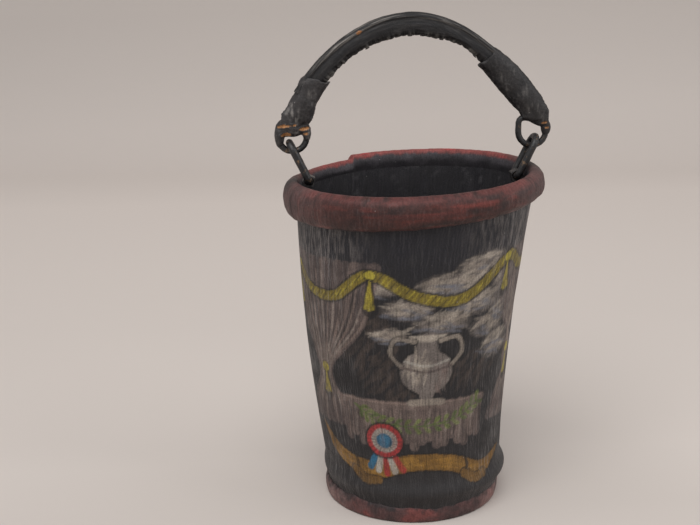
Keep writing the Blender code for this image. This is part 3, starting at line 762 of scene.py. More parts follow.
# %% Ribbon and cockade
RIBBON = [(-112, 84), (-84, 60), (-44, 52), (-6, 62), (34, 60), (74, 46), (112, 58)]
ribbon_line = smooth_line(RIBBON, 52)
brush.stroke(ribbon_line, [3, 8, 10, 10, 10, 10, 10, 8, 3], OUTLINE, 0.95)
brush.stroke(ribbon_line, [1.5, 6.5, 8.4, 8.4, 8.4, 8.4, 8.4, 6.5, 1.5], OCHRES[0], 0.9)
for k in range(80):
    start = brush.chance.integers(6, 39)
    shift = np.array([0, brush.chance.uniform(-6, 6)])
    brush.stroke(ribbon_line[start : start + 7] + shift, [0.4, 1.5, 0.4], OCHRES[1 + k % 2], 0.55)
for across, up in ((-66, 56), (52, 54)):
    fold = smooth_line([(across, up + 10), (across + 4, up), (across + 1, up - 10)], 8)
    brush.stroke(fold, [1, 2.0, 1], OUTLINE, 0.8)
    tail = smooth_line([(across, up - 8), (across + 12, up - 15), (across + 27, up - 14)], 10)
    brush.stroke(tail, [6, 5.6, 5], OUTLINE, 0.8)
    brush.stroke(tail, [4.6, 4.2, 3.8], OCHRES[2], 0.85)
COCKADE = np.array([-30, 84])
for k, colour in enumerate((BLUE, WHITE, RED, WHITE, RED)):
    end = COCKADE + (-17 + 8.5 * k, -34 + abs(k - 2) * 2.5)
    brush.stroke([COCKADE, 0.5 * (COCKADE + end), end], [1.5, 3.2, 3.4], colour, 0.95)
brush.oval(COCKADE, (20, 19), OUTLINE, 0.9)
for radius, colour in ((18, RED), (13, WHITE), (8, BLUE)):
    brush.oval(COCKADE, (radius, radius * 0.94), colour, 0.95)
for k in range(22):
    turn = 2 * math.pi * k / 22
    spoke = np.array([math.cos(turn), math.sin(turn) * 0.94])
    brush.stroke([COCKADE + spoke * 6.5, COCKADE + spoke * 17.5], 0.5, OUTLINE, 0.5)
print("ribbon and cockade painted")

# %% [markdown]
# The yellow rope is the last thing on the picture. It is a dark stroke, a yellow one on it, and short slanted
# strokes for the lay of its strands. A tassel hangs from each knot.

# %% Painted rope
ROPE_LINE = [
    (-132, 240), (-104, 222), (-72, 222), (-38, 246), (2, 226), (42, 222), (88, 250), (112, 238), (134, 236),
]
rope = smooth_line(ROPE_LINE, 90)
brush.stroke(rope, 6.6, OUTLINE, 0.85)
brush.stroke(rope, 4.8, YELLOWS[2], 0.95)
for k in range(2, 88):
    lay = np.array([rope[k] + (-2.4, -3.4), rope[k] + (2.4, 3.4)])
    brush.stroke(lay, [0.4, 1.0, 0.4], YELLOWS[k % 2] if k % 3 else OUTLINE, 0.8)
KNOTS = [
    ((-38, 246), 34), ((88, 250), 30), ((-92, 146), 26),
    ((112, 158), 26), ((-132, 240), 40), ((134, 236), 40),
]
for knot, drop in KNOTS:
    knot = np.array(knot)
    brush.stroke([knot, knot - (0, drop)], [2.2, 2.4, 6.5], OUTLINE, 0.8)
    for k in range(9):
        end = knot + ((k - 4) * 1.15, -drop + abs(k - 4) * 0.5)
        brush.stroke([knot - (0, 6), end], [0.6, 0.9, 0.8], YELLOWS[k % 3], 0.75)
    brush.oval(knot, (6, 5.4), OUTLINE, 0.85)
    brush.oval(knot, (4.8, 4.2), YELLOWS[1], 0.95)
print("rope painted")

# %% [markdown]
# Dust and a painted sheen lie on the crests of the wall's upright streaks, most at the two sides, and hardly
# inside or at the back. Their share goes into the fourth channel of the colours, where the leather finish
# reads it.

# %% Wall finish
INSIDE_DUST = 0.06
ground[canvas] = brush.colours
# dust and painted sheen on the streaks' crests, strongest at the two sides
outer_dust_and_sheen = 0.16 + 0.84 * ramp(turned, 0.35, 1.0) - 0.78 * ramp(turned, 1.4, 2.1)
paint_on(wall, ground, np.where(inside > 0, INSIDE_DUST, outer_dust_and_sheen))
finish_piece(wall, WALL_LEATHER, "bucket", "black_leather", "bucket_wall")

# %% [markdown]
# ## Rim roll
#
# A red strip is rolled over the mouth round an iron hoop. A bent tube could stand for it, but its section is
# drawn point by point: a thin skirt on the wall, the plump roll, and a thin flap inside. The strip's end
# steps down at the back seam. Where it turns over the hoop it wrinkles upright, most at the two sides.

# %% Rim shape
RIM_SECTION = [
    (110.0, 290.4), (111.6, 288.6), (114.6, 288.7), (117.8, 290.6), (120.0, 294.2), (121.2, 298.9),
    (121.6, 304.2), (120.9, 309.4), (119.0, 313.9), (115.4, 317.2), (111.4, 318.1), (108.6, 316.8),
    (107.0, 313), (106.3, 308.5), (106.6, 304), (107.1, 300), (107.8, 297), (108.9, 295), (109.3, 293),
    (110.0, 290.4),
]
RIM_MIDDLE = (113.6, 303.3)
RIM_HALF = (8.4, 14.9)
RIM_COLUMNS = 860
RIM_POINTS = 61
RIM_STEP = -4.5
RIM_ROUND = 120
RIM_TALL = 26


def ring_grids(section, columns):
    """Grids of a section's two values and of the angles round a ring."""
    angles = np.linspace(0, 2 * math.pi, columns, endpoint=False)
    first, angle_of = np.meshgrid(section[:, 0], angles, indexing="ij")
    second = np.meshgrid(section[:, 1], angles, indexing="ij")[0]
    return first, second, angle_of


rim_section = smooth_line(RIM_SECTION, RIM_POINTS)[:-1]
rim_radius, rim_height, rim_angle_grid = ring_grids(rim_section, RIM_COLUMNS)
lie_grid = (rim_radius - RIM_MIDDLE[0]) / RIM_HALF[0]
stand_grid = (rim_height - RIM_MIDDLE[1]) / RIM_HALF[1]
round_place = ring_point(RIM_ROUND + 0 * lie_grid, rim_angle_grid, RIM_TALL * stand_grid)
rightward = ring_point(1 + 0 * lie_grid, rim_angle_grid, 0 * lie_grid) @ PHOTO_RIGHT
sideways = np.abs(rightward)
wrinkle = mottle(round_place, (2.4, 2.4, 40), 31) * (0.16 + 0.62 * ramp(sideways, 0.55, 0.95))
plump = 0.6 * mottle(round_place, 45, 32) + 0.6 * mottle(round_place, (13, 13, 9), 33)
plump = plump + 0.3 * mottle(round_place, 3.6, 45)
rim_radius = rim_radius + (wrinkle + plump) * np.clip(1.6 * lie_grid, 0, 1)
flap_place = ring_point(rim_radius, rim_angle_grid, rim_height)
rim_radius = rim_radius + wall_dents(flap_place) * ramp(-lie_grid, 0.2, 0.7)
ragged = 1.2 * mottle(round_place, (26, 26, 400), 34) + 0.5 * mottle(round_place, (5, 5, 400), 35)
rim_height = rim_height + ragged * np.where(stand_grid < -0.5, 1.0, 0.45)
rim_height = rim_height + (1.2 + 4.2 * rightward) * ramp(-stand_grid, 0.1, 0.95)
after_seam = (rim_angle_grid - SEAM_ANGLE) % (2 * math.pi)
step_down = ramp(after_seam, 0.0, 0.03) * (1 - ramp(after_seam, 0.5, 1.3))
rim_height = rim_height + RIM_STEP * step_down * ramp(stand_grid, -0.4, 0.6)
rim_grid = settle(ring_point(rim_radius, rim_angle_grid, rim_height))
rim = skin("red_rim_roll", rim_grid, joined=True)
print("rim grid", rim_grid.shape[:2])

# %% [markdown]
# The roll's paint is smeared and patchy, grey and streaked at the two sides. Its top is painted lighter as a
# highlight, most on the far rim, and a painted highlight runs along its upper crest, while its front and
# lower edge are painted darker as shade. A lighter band runs along the skirt. Inside, bare lining shows up to
# a wandering edge and is painted darker down into the mouth, as shade. The paint is darker by the tabs, with
# grime and painted shade under the links.

# %% Rim paint
smeared = mottle(round_place, (30, 30, 9), 36)
patchy = mottle(round_place, 13, 41)
fine = mottle(round_place, (1.8, 1.8, 16), 37)
streaky = ramp(sideways, 0.5, 0.95)
rim_paint = coated(
    base_coat(rim_grid, 84, 48, 43),
    ((52, 37, 36), ramp(smeared, 0.0, 0.45) * 0.7),
    ((124, 54, 45), ramp(-smeared, 0.1, 0.6) * 0.6),
    ((46, 35, 35), ramp(patchy, 0.1, 0.55) * 0.55),
    ((98, 74, 72), ramp(sideways, 0.55, 0.98) * 0.8),
    ((44, 34, 34), ramp(fine, 0.05, 0.5) * (0.3 + 0.38 * streaky)),
    ((122, 84, 78), ramp(-fine, 0.25, 0.6) * (0.14 + 0.4 * streaky)),
)
on_top = ramp(stand_grid, 0.5, 0.9)
behind = ramp(np.sin(rim_angle_grid - CAMERA_YAW), 0.0, 0.6)
bare_side = 1 - 0.8 * ramp(sideways, 0.75, 0.97)
# painted highlight: the roll's top is made lighter, most on the far rim, less at the two sides
top_highlight = ramp(mottle(round_place, 8, 38) + 0.45 * behind, -0.6, 0.1) * (0.35 + 0.6 * behind) * bare_side
rim_paint = tint(rim_paint, linear(164, 84, 79) * (1 - 0.12 * behind[..., None]), on_top * top_highlight)
# vivid painted highlight flecks on the far rim's top
vivid = ramp(mottle(round_place, (18, 18, 7), 43), 0.1, 0.45)
rim_paint = coated(rim_paint, ((206, 70, 70), on_top * behind * vivid * bare_side * 0.6))
# painted shade: the roll's front is darkened, less at the two sides and on the far rim
rim_paint = rim_paint * (0.66 + 0.34 * np.maximum(ramp(sideways, 0.45, 0.95), behind))[..., None]
outside = lie_grid > 0
# painted highlight along the roll's upper crest on the outside
crest_highlight = ramp(mottle(round_place, (24, 24, 8), 44), 0.0, 0.4) * hump(stand_grid, 0.3, 0.34)
# a lighter band along the skirt below the roll
skirt_band = hump(stand_grid, -0.84, 0.09) * ramp(mottle(round_place, (16, 16, 90), 46), -0.3, 0.3)
rim_paint = coated(
    rim_paint,
    ((134, 58, 50), crest_highlight * outside * (1 - ramp(sideways, 0.6, 0.95)) * 0.6),
    # painted shade along the roll's lower edge
    ((46, 36, 36), ramp(-stand_grid + 0.1 * patchy, 0.75, 1.0) * 0.7),
    ((126, 76, 70), skirt_band * outside * (1 - ramp(sideways, 0.7, 0.97)) * 0.6),
)
inside_edge = stand_grid + 0.14 * mottle(round_place, (12, 12, 90), 39)
inside_edge = inside_edge + 0.1 * mottle(round_place, (3, 3, 90), 40)
within = (lie_grid < -0.2) * (1 - ramp(inside_edge, 0.68, 0.86))
nap = ramp(mottle(round_place, (2.4, 2.4, 4), 42), 0.1, 0.6)
# the lining has paler nap near its top edge and is painted darker down into the mouth, as shade
lining = coated(
    base_coat(rim_grid, 78, 73, 77),
    ((104, 98, 98), 0.7 * nap * ramp(stand_grid, 0.1, 0.7)),
    ((46, 43, 46), 1 - ramp(stand_grid + 0.4 * patchy, 0.0, 0.7)),
)
rim_paint = tint(rim_paint, lining, within)
# darker by the tabs: grime, and painted shade under the links
near_tab = hump(np.abs(np.sin(rim_angle_grid)) * 115, 0, 21)
rim_paint = coated(rim_paint, ((48, 42, 42), near_tab * ramp(stand_grid + 0.4 * patchy, 0.1, 0.9) * 0.9))
paint_on(rim, rim_paint, 1 - 0.8 * within)
finish_piece(rim, RIM_LEATHER, "bucket", "red_leather", "rim_collar")

# %% [markdown]
# ## Foot band
#
# A red strip runs round the foot. It could be a plain band, but it was cut and painted by hand, so it is a
# skin like the rim, and noise makes its upper edge wander.

# %% Foot band
FOOT_HEIGHT = 18.0
FOOT_RADIUS = 85
FOOT_THICKNESS = 2.2
FOOT_GAP = 0.3
FOOT_SHIFT = 1.0
FOOT_COLUMNS = 620
FOOT_POINTS = 35
FOOT_SECTION = [
    (-0.5, 0.06), (0.0, 0), (0.4, 0.005), (0.78, 0.07), (0.95, 0.22), (1.05, 0.45), (0.95, 0.68), (0.5, 0.9),
    (-0.1, 1), (-0.9, 1), (-0.9, 0.5), (-0.5, 0.06),
]
foot_section = smooth_line(FOOT_SECTION, FOOT_POINTS)[:-1]
foot_out, foot_up, foot_angle_grid = ring_grids(foot_section, FOOT_COLUMNS)
foot_place = ring_point(FOOT_RADIUS + 0 * foot_out, foot_angle_grid, FOOT_HEIGHT * foot_up)
foot_round = foot_place * (1, 1, 0)
edge = 3.0 * mottle(foot_round, 30, 51) + 2.0 * mottle(foot_round, 7, 52) - 2.5
foot_z = np.maximum(foot_up, 0) * (FOOT_HEIGHT + edge)
foot_radius = wall_radius(foot_z) + FOOT_GAP + FOOT_THICKNESS * foot_out
foot_radius = foot_radius + 0.35 * mottle(foot_place, 8, 53) * foot_out
foot_grid = ring_point(foot_radius, foot_angle_grid, foot_z) - FOOT_SHIFT * PHOTO_RIGHT
foot = skin("red_foot_band", foot_grid, joined=True)
foot_patch = mottle(foot_place, 14, 54)
foot_side = ramp(np.abs(foot_place @ PHOTO_RIGHT) / FOOT_RADIUS, 0.55, 0.97)
foot_paint = coated(
    base_coat(foot_place, 98, 65, 63),
    ((58, 46, 46), ramp(foot_patch, -0.1, 0.5) * 0.75),
    ((140, 70, 64), ramp(-foot_patch, 0.05, 0.45) * 0.55),
    ((150, 118, 113), foot_side * ramp(mottle(foot_place, 9, 56), -0.6, 0.2) * 0.75),
    ((44, 39, 40), ramp(foot_up + 0.5 * mottle(foot_place, 6, 55), 0.65, 1.05) * 0.8),
)
paint_on(foot, foot_paint)
finish_piece(foot, RIM_LEATHER, "bucket", "red_leather", "foot_band")

# %% [markdown]
# ## Bottom
#
# The bottom is a leather disc with its edge turned down. Its CAD solid has the right shape, but hard edges. A
# Bevel modifier would round them all alike. Remeshing a copy in fine voxels and smoothing it wears them as
# use does. The straps, tabs and iron further on are softened copies too.

# %% Softened copies
MERGE_WITHIN = 1e-6


def places(piece):
    """The piece's points and their normals, in mm."""
    count = len(piece.data.vertices)
    points = np.empty(count * 3)
    piece.data.vertices.foreach_get("co", points)
    normals = np.empty(count * 3)
    piece.data.vertex_normals.foreach_get("vector", normals)
    return points.reshape(-1, 3) / MM, normals.reshape(-1, 3)


def move_points(piece, points):
    """Puts the piece's points at new places in mm."""
    piece.data.vertices.foreach_set("co", (points * MM).ravel())
    piece.data.update()


def made_plain(piece):
    """Turns a piece with modifiers into a plain smooth mesh."""
    graph = bpy.context.evaluated_depsgraph_get()
    piece.data = bpy.data.meshes.new_from_object(piece.evaluated_get(graph))
    piece.modifiers.clear()
    piece.data.shade_smooth()


def softened(node, name, voxel, rounds, press=None, lumps=()):
    """A copy of a CAD node, pressed to a new shape, with lumps melted into it and its edges worn round."""
    shape = bmesh.new()
    shape.from_mesh(frame["nodes"][node].data)
    bmesh.ops.remove_doubles(shape, verts=shape.verts, dist=MERGE_WITHIN)
    if press:
        for vert, spot in zip(shape.verts, press(np.array([vert.co for vert in shape.verts]) / MM)):
            vert.co = Vector(spot) * MM
    for centre, radii in lumps:
        place = Matrix.Translation(Vector(centre) * MM) @ Matrix.Diagonal((*(r * MM for r in radii), 1))
        bmesh.ops.create_icosphere(shape, subdivisions=3, radius=1, matrix=place)
    mesh = bpy.data.meshes.new(name)
    shape.to_mesh(mesh)
    shape.free()
    piece = show(name, mesh)
    remesh = piece.modifiers.new("fine_mesh", "REMESH")
    remesh.mode = "VOXEL"
    remesh.voxel_size = voxel * MM
    wear = piece.modifiers.new("worn_edges", "SMOOTH")
    wear.iterations = rounds
    made_plain(piece)
    piece.data.materials.clear()
    return piece


print("CAD nodes to copy from:", len(frame["nodes"]))

# %% Bottom
bottom = softened("base_disc", "leather_bottom", 1.6, 3)
bottom_spots = places(bottom)[0]
bottom_worn = ramp(mottle(bottom_spots, 18, 61), 0.0, 0.6) * 0.6
paint_on(bottom, coated(base_coat(bottom_spots, 34, 31, 31), ((72, 60, 52), bottom_worn)))
finish_piece(bottom, STRAP_LEATHER, "bucket", "black_leather", "base_disc")

# %% [markdown]
# ## Grip
#
# The handle is leather rolled round a rope. The rope makes a bead along the top. Below it the leather is
# pressed flat into a web, and along the inner edge, where it is sewn, it bunches up and its paint has worn
# grey. A Curve with a bevel object could sweep that section, but every ring would be alike. Here the section
# is drawn once, carried along the arch of the part, and puckered by noise.

# %% Grip shape
EYE_X = 0.5 * (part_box("right_eye_ring")[0].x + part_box("right_eye_ring")[1].x) / MM
BAIL_HEIGHT = next(j["pos_m"][2] for j in frame["joints"] if j["name"] == "bail_swing") / MM
HANDLE_FOOT = BAIL_HEIGHT + 26
HANDLE_RISE = 88.0
HANDLE_FULLNESS = 1.6
HANDLE_SLUMP = 4.0
SLUMP_TURN = math.radians(52)
SLUMP_SPREAD = math.radians(24)
GRIP_START = 26.0
GRIP_ROWS = 560
GRIP_HALF = [
    (10.8, 0), (10.3, 3.4), (9.0, 5.6), (7.6, 6.4), (6.3, 6.0), (5.2, 5.7), (3.8, 6.0), (1, 6.6), (-3, 6.6),
    (-6.6, 5.6), (-9.2, 3.0),
]
GRIP_INNER = (-10.3, 0)
GRIP_POINTS = 61
SHOULDER_THIN = 3.6
SHOULDER_AT = 72.0
SHOULDER_SPREAD = 20
HANGER = 30.0
ARCH_SAMPLES = 4001
TOWARDS_BACK = np.array([0, 1.0, 0])


def handle_line(count, start):
    """Even places on the handle's arch from start past one ring's bar to the same at the other."""
    turn = np.linspace(0, math.pi, ARCH_SAMPLES)
    rise = HANDLE_RISE * np.sin(turn) ** HANDLE_FULLNESS
    slump = HANDLE_SLUMP * hump(math.pi - turn, SLUMP_TURN, SLUMP_SPREAD)
    line = np.stack([-EYE_X * np.cos(turn), 0 * turn, HANDLE_FOOT + rise - slump], axis=-1)
    line = np.vstack([line[0] - (0, 0, HANGER), line, line[-1] - (0, 0, HANGER)])
    length = np.concatenate([[0], np.cumsum(np.linalg.norm(np.diff(line, axis=0), axis=1))]) - HANGER
    steps = np.linspace(start, length[-1] - HANGER - start, count)
    even = np.stack([np.interp(steps, length, line[:, k]) for k in range(3)], axis=-1)
    way = np.gradient(even, axis=0)
    way = way / np.linalg.norm(way, axis=1)[:, None]
    return even, steps, way, np.stack([-way[:, 2], 0 * steps, way[:, 0]], axis=-1)


def carried(line, outward, out, deep):
    """A grid of points round a line: out from the arch's middle, and deep towards the back."""
    return line[:, None] + outward[:, None] * out[..., None] + deep[..., None] * TOWARDS_BACK


half = np.array(GRIP_HALF)
mirrored = half[:0:-1] * (1, -1)
loop = np.vstack([half, [GRIP_INNER], mirrored, half[:1]])
section = smooth_line(loop, GRIP_POINTS)[:-1]
line, steps, _, outward = handle_line(GRIP_ROWS, GRIP_START)
along_grid = np.repeat(steps[:, None], len(section), 1)
out_grid = np.repeat(section[None, :, 0], GRIP_ROWS, 0)
deep_grid = np.repeat(section[None, :, 1], GRIP_ROWS, 0)
flat_place = np.stack([along_grid, out_grid * 2.2, deep_grid * 2.2], axis=-1)
web = ramp(-out_grid, 0.5, 8)
pucker = mottle(flat_place, (3.0, 16, 30), 71)
bunch = pucker * 1.5 * web + 0.28 * mottle(flat_place, (30, 3, 3), 72) + 0.3 * mottle(flat_place, 7, 73)
swollen = 1 + bunch / np.maximum(np.hypot(out_grid, deep_grid), 3)
slow = 0.6 * mottle(np.stack([steps, 0 * steps, 0 * steps], -1), 40, 74)
slow = slow + 1.6 * ramp(np.abs(steps - steps.mean()), 20, 70)
slow = slow + SHOULDER_THIN * hump(steps[-1] - steps, SHOULDER_AT, SHOULDER_SPREAD)
out_moved = out_grid * swollen + slow[:, None] * ramp(-out_grid, 0, 9)
grip_grid = carried(line, outward, out_moved, deep_grid * swollen)
grip = skin("leather_grip", grip_grid, joined=False)
print("grip", round(float(steps[-1] - steps[0])), "mm long")

# %% [markdown]
# The grip's paint is rubbed along the bead, most on the left, and painted darker in the groove below it as
# shade. At the sewn edge it is frayed grey, and the puckers' crests are painted lighter as a highlight. One
# scuff at the left goes down to the brown hide.

# %% Grip paint
SCUFF = (101.0, 7.0)
scrape = ramp(mottle(flat_place, (20, 2.0, 2.6), 76), -0.1, 0.4)
ridge = hump(out_grid, 8.2, 2.2)
groove = hump(out_grid, 5.3, 0.9)
leftward = 1 - ramp(along_grid / steps[-1], 0.3, 0.75)
# frayed grey fibres, and a painted highlight on the puckers' crests at the sewn edge
frayed_and_lit = ramp(pucker, 0.0, 0.5) * ramp(-out_grid, 4, 9.5)
scuff = np.exp(-(((along_grid - SCUFF[0]) / 4) ** 2 + ((out_grid - SCUFF[1]) / 1.8) ** 2)) * (deep_grid < 0)
grip_paint = coated(
    base_coat(grip_grid, 22, 21, 23),
    ((19, 18, 19), ramp(mottle(flat_place, 14, 75), 0.0, 0.5) * 0.6),
    ((146, 139, 132), scrape * (0.05 + (0.4 + 0.5 * leftward) * ridge)),
    # painted shade in the groove below the bead
    ((20, 19, 20), groove * 0.6 * ramp(mottle(flat_place, (14, 30, 30), 78), -0.5, 0.3)),
    ((138, 134, 128), frayed_and_lit * 0.7),
    ((160, 108, 66), ramp(scuff + 0.3 * mottle(flat_place, 3, 77), 0.45, 0.7)),
)
paint_on(grip, grip_paint)
finish_piece(grip, GRIP_LEATHER, "handle", "black_leather", "grip_cover")

# %% [markdown]
# ## End straps and tabs
#
# Each end of the grip is sheathed in a strap that folds round its iron ring. The tabs inside the mouth are
# smaller loops of the same hide. Remeshing a copy of the CAD node and smoothing it gives thick soft edges,
# and moving its points by noise gives creases, cracks and a torn lap. On the left the leather also covers
# most of the ring.

# %% Strap shapes
RING_MIDDLE = BAIL_HEIGHT + 13
STRAP_LUMPS = {
    "left": [
        ((-EYE_X, 0, RING_MIDDLE + 10), (15, 7.5, 9.5)),
        ((-EYE_X - 12.2, 0, RING_MIDDLE + 2), (4.4, 6, 12)),
        ((-EYE_X + 13.2, 0, RING_MIDDLE + 4.5), (4.4, 6, 9.5)),
    ],
    "right": [
        ((EYE_X + 8, 0, RING_MIDDLE + 11.5), (7, 6, 6.5)),
        ((EYE_X + 12.8, 0, RING_MIDDLE + 4), (4.4, 5, 8.5)),
    ],
}
STRAP_LAP = {"left": 48.0, "right": 75.0}
STRAP_WIDE = {
    "left": ([-6, 0, 4, 9, 15, 24], [1.72, 1.7, 1.5, 1.2, 0.98, 0.86]),
    "right": ([-6, 0, 6, 12, 20, 50, 72], [1.6, 1.65, 1.3, 1.08, 1.0, 1.02, 0.86]),
}
STRAP_SHIFT = {
    "left": ([-6, 0, 6, 14, 24, 40], [-1, -2.2, -4, -4.2, -2, 0]),
    "right": ([-6, 6, 14, 34], [1.8, 2, 1.2, 0]),
}
STRAP_SLANT = {"left": 0.0, "right": 0.3}
ARCH_ROWS = 900
arch, arch_steps, arch_way, arch_out = handle_line(ARCH_ROWS, -HANGER)


def press_strap(spots, hand, seed):
    """Fits a strap to the grip: wide at the ring, thin and torn at the end of its lap."""
    near = ((spots[:, None, ::2] - arch[None, :, ::2]) ** 2).sum(2).argmin(1)
    reach = spots - arch[near]
    out = (reach * arch_out[near]).sum(1)
    rest = (reach * arch_way[near]).sum(1)
    along = arch_steps[near] if hand == "left" else arch_steps[-1] - HANGER - arch_steps[near]
    torn = 5 * mottle(np.stack([out, 1.5 * spots[:, 1], 0 * out], 1), 7, seed + 8) - 2
    torn = torn - 0.45 * out if hand == "left" else -torn
    rest = rest + torn * ramp(along, STRAP_LAP[hand] - 18, STRAP_LAP[hand])
    out = out * np.interp(along, *STRAP_WIDE[hand]) + np.interp(along, *STRAP_SHIFT[hand])
    moved = arch[near] + arch_out[near] * out[:, None] + arch_way[near] * rest[:, None]
    moved[:, 1] = spots[:, 1] * np.interp(along, [10, 28], [1, 0.78])
    moved[:, 2] -= STRAP_SLANT[hand] * (moved[:, 0] - EYE_X) * (1 - ramp(along, -4, 12))
    return moved


print("arch of the straps:", round(float(arch_steps[-1] - arch_steps[0])), "mm")

# %% Straps
STRAP_TONE = {"left": 1.35, "right": 0.7}
STRAP_SPLITS = {
    "left": [(-8, -2, 8, 1.5), (11, -4.5, 6, 1.7), (-6, -9.5, 5, 1.8), (12, -9.5, 2.8, 1.0), (2, -1, 2, 0.8)],
    "right": [(10, -4.5, 3.5, 1.2), (13, -9, 2, 0.9)],
}
SPLIT_LEAN = 0.12


def leather_paint(spots, seed, tone=1.0):
    """Worn black leather: brown-black, scraped grey in patches."""
    scraped = ramp(mottle(spots, (6, 6, 14), seed + 3), 0.0, 0.5)
    streaked = ramp(mottle(spots, (1.8, 1.8, 8), seed + 5), -0.2, 0.4)
    return tone * coated(
        base_coat(spots, 50, 47, 47),
        ((29, 27, 27), ramp(mottle(spots, 10, seed), 0.0, 0.5) * 0.7),
        ((122, 117, 113), scraped * streaked * 0.7),
    )


for hand, seed in (("left", 81), ("right", 91)):
    press = functools.partial(press_strap, hand=hand, seed=seed)
    strap = softened(f"{hand}_end_strap", f"{hand}_strap_leather", 0.8, 5, press, STRAP_LUMPS[hand])
    spots, normals = places(strap)
    crease = 0.5 * mottle(spots, 6, seed) + 0.8 * mottle(spots, 17, seed + 1)
    wander = 4 * mottle(spots * (1, 0.3, 0), 9, seed + 2)
    crack = hump(spots[:, 2] - HANDLE_FOOT + 3 + wander, 0, 1.6)
    across = spots[:, 0] - math.copysign(EYE_X, spots[:, 0].mean())
    raw = np.full(len(spots), -9.0)
    for middle, up, long, tall in STRAP_SPLITS[hand]:
        off_up = spots[:, 2] - HANDLE_FOOT - up - SPLIT_LEAN * (across - middle)
        raw = np.maximum(raw, 1 - np.hypot((across - middle) / long, off_up / tall))
    split = ramp(raw + 0.5 * mottle(spots, 2.5, seed + 4), 0.0, 0.25)
    rim_of_split = ramp(raw + 0.4 * mottle(spots, 3, seed + 6), -0.7, 0.0) - split
    spots = spots + normals * (crease - 0.7 * crack - 0.5 * split + 0.5 * rim_of_split)[:, None]
    move_points(strap, spots)
    strap_paint = leather_paint(spots, seed, STRAP_TONE[hand])
    paint_on(strap, coated(strap_paint, ((24, 22, 22), 0.6 * crack), ((190, 134, 84), split)))
    finish_piece(strap, STRAP_LEATHER, "handle", "black_leather", f"{hand}_end_strap")

# %% Tabs
for hand, seed in (("left", 101), ("right", 111)):
    tab = softened(f"{hand}_tab", f"{hand}_tab_leather", 0.6, 4)
    spots, normals = places(tab)
    move_points(tab, spots + normals * (0.35 * mottle(spots, 5, seed))[:, None])
    paint_on(tab, leather_paint(spots, seed))
    finish_piece(tab, STRAP_LEATHER, "bucket", "black_leather", f"{hand}_tab")

# %% [markdown]
# ## Iron, copper and cord finishes
#
# Links and rings are wrought iron rod under thick black paint. Hammering leaves slow dents, and where iron
# rubs on iron the paint is gone down to brown. The rivets are copper, and dull. Rope and thread are dark in
# one spot and pale in the next. One group gives the worn share as a mask and the dents as a height, so the
# four finishes differ only in colours, shine and gloss.

# %% Worn finishes
WEAR_PER_METRE = 230.0
DENTS_PER_METRE = 420.0
DENT_BUMP = 0.6
DENT_DEPTH = 0.4


def worn_group():
    """A mask of worn spots and a height of dents, from a place in metres."""
    group = bpy.data.node_groups.new("worn_metal", "ShaderNodeTree")
    add_sockets(group, "INPUT", "Vector", "Place")
    add_sockets(group, "OUTPUT", "Float", "Wear", "Dents")
    place = group.nodes.new("NodeGroupInput").outputs["Place"]
    spot = noise_value(group, place, WEAR_PER_METRE, 5.0, 0.65)
    given_back = group.nodes.new("NodeGroupOutput").inputs
    group.links.new(remap(group, spot, 0.58, 0.7, 0.0, 1.0), given_back["Wear"])
    group.links.new(noise_value(group, place, DENTS_PER_METRE, 3.0), given_back["Dents"])
    return group


WORN_METAL = worn_group()


def worn_finish(name, coat, bare, metal, gloss):
    """A metal or cord finish: a coat with bare spots, in screen colours, and dented."""
    material, tree, shader = new_finish(name)
    place = add_node(tree, "TexCoord").outputs["Object"]
    worn = add_node(tree, "Group", {"Place": place}, node_tree=WORN_METAL).outputs
    colour = blend_colours(tree, worn["Wear"], (*linear(*coat), 1), (*linear(*bare), 1))
    tree.links.new(colour, shader.inputs["Base Color"])
    rough = remap(tree, worn["Dents"], 0.3, 0.7, gloss - 0.1, gloss + 0.15)
    tree.links.new(rough, shader.inputs["Roughness"])
    add_bump(tree, shader, DENT_BUMP, DENT_DEPTH, worn["Dents"])
    shader.inputs["Metallic"].default_value = metal
    return material


IRON = worn_finish("black_painted_iron", (36, 34, 34), (118, 92, 66), metal=0.0, gloss=0.42)
COPPER = worn_finish("dull_copper", (46, 38, 35), (96, 64, 47), metal=0.4, gloss=0.5)
ROPE = worn_finish("hemp_rope", (150, 124, 92), (112, 90, 64), metal=0.0, gloss=0.85)
THREAD = worn_finish("waxed_thread", (40, 37, 35), (66, 60, 54), metal=0.0, gloss=0.6)
print("finishes: iron, copper, rope, thread")

# %% [markdown]
# ## Rope core
#
# The rope in the handle is three strands laid round each other. It could be three swept tubes. One tube whose
# section has three lobes, turned a little more at every step, gives the same shape in one closed piece.

# %% Rope core
CORE_START = GRIP_START - 5
CORE_ROWS = 300
CORE_SIDES = 30
CORE_MIDDLE = 1.8
CORE_RADIUS = 4.2
STRANDS = 3
STRAND_BULGE = 0.6
STRAND_LAY = 30.0
core_line, core_steps, _, core_outward = handle_line(CORE_ROWS, CORE_START)
core_turn = np.linspace(0, 2 * math.pi, CORE_SIDES, endpoint=False)[None, :]
core_twist = 2 * math.pi * core_steps[:, None] / STRAND_LAY
core_radius = CORE_RADIUS + STRAND_BULGE * np.abs(np.cos(0.5 * STRANDS * (core_turn - core_twist)))
core_out = CORE_MIDDLE + core_radius * np.cos(core_turn)
core_grid = carried(core_line, core_outward, core_out, core_radius * np.sin(core_turn))
core = skin("laid_rope_core", core_grid, joined=False)
finish_piece(core, ROPE, "handle", "hemp_rope", "handle_core")

# %% [markdown]
# ## Links, rings, hoop and rivets
#
# The links and rings are bent from rod and the hoop is a ring of it. Curves with a round bevel could make
# them, but the CAD solids have the right bends, so softened copies are dented by slow noise, and the hoop
# leans with the mouth. The rivets and their roves keep their CAD shapes and get the copper finish.

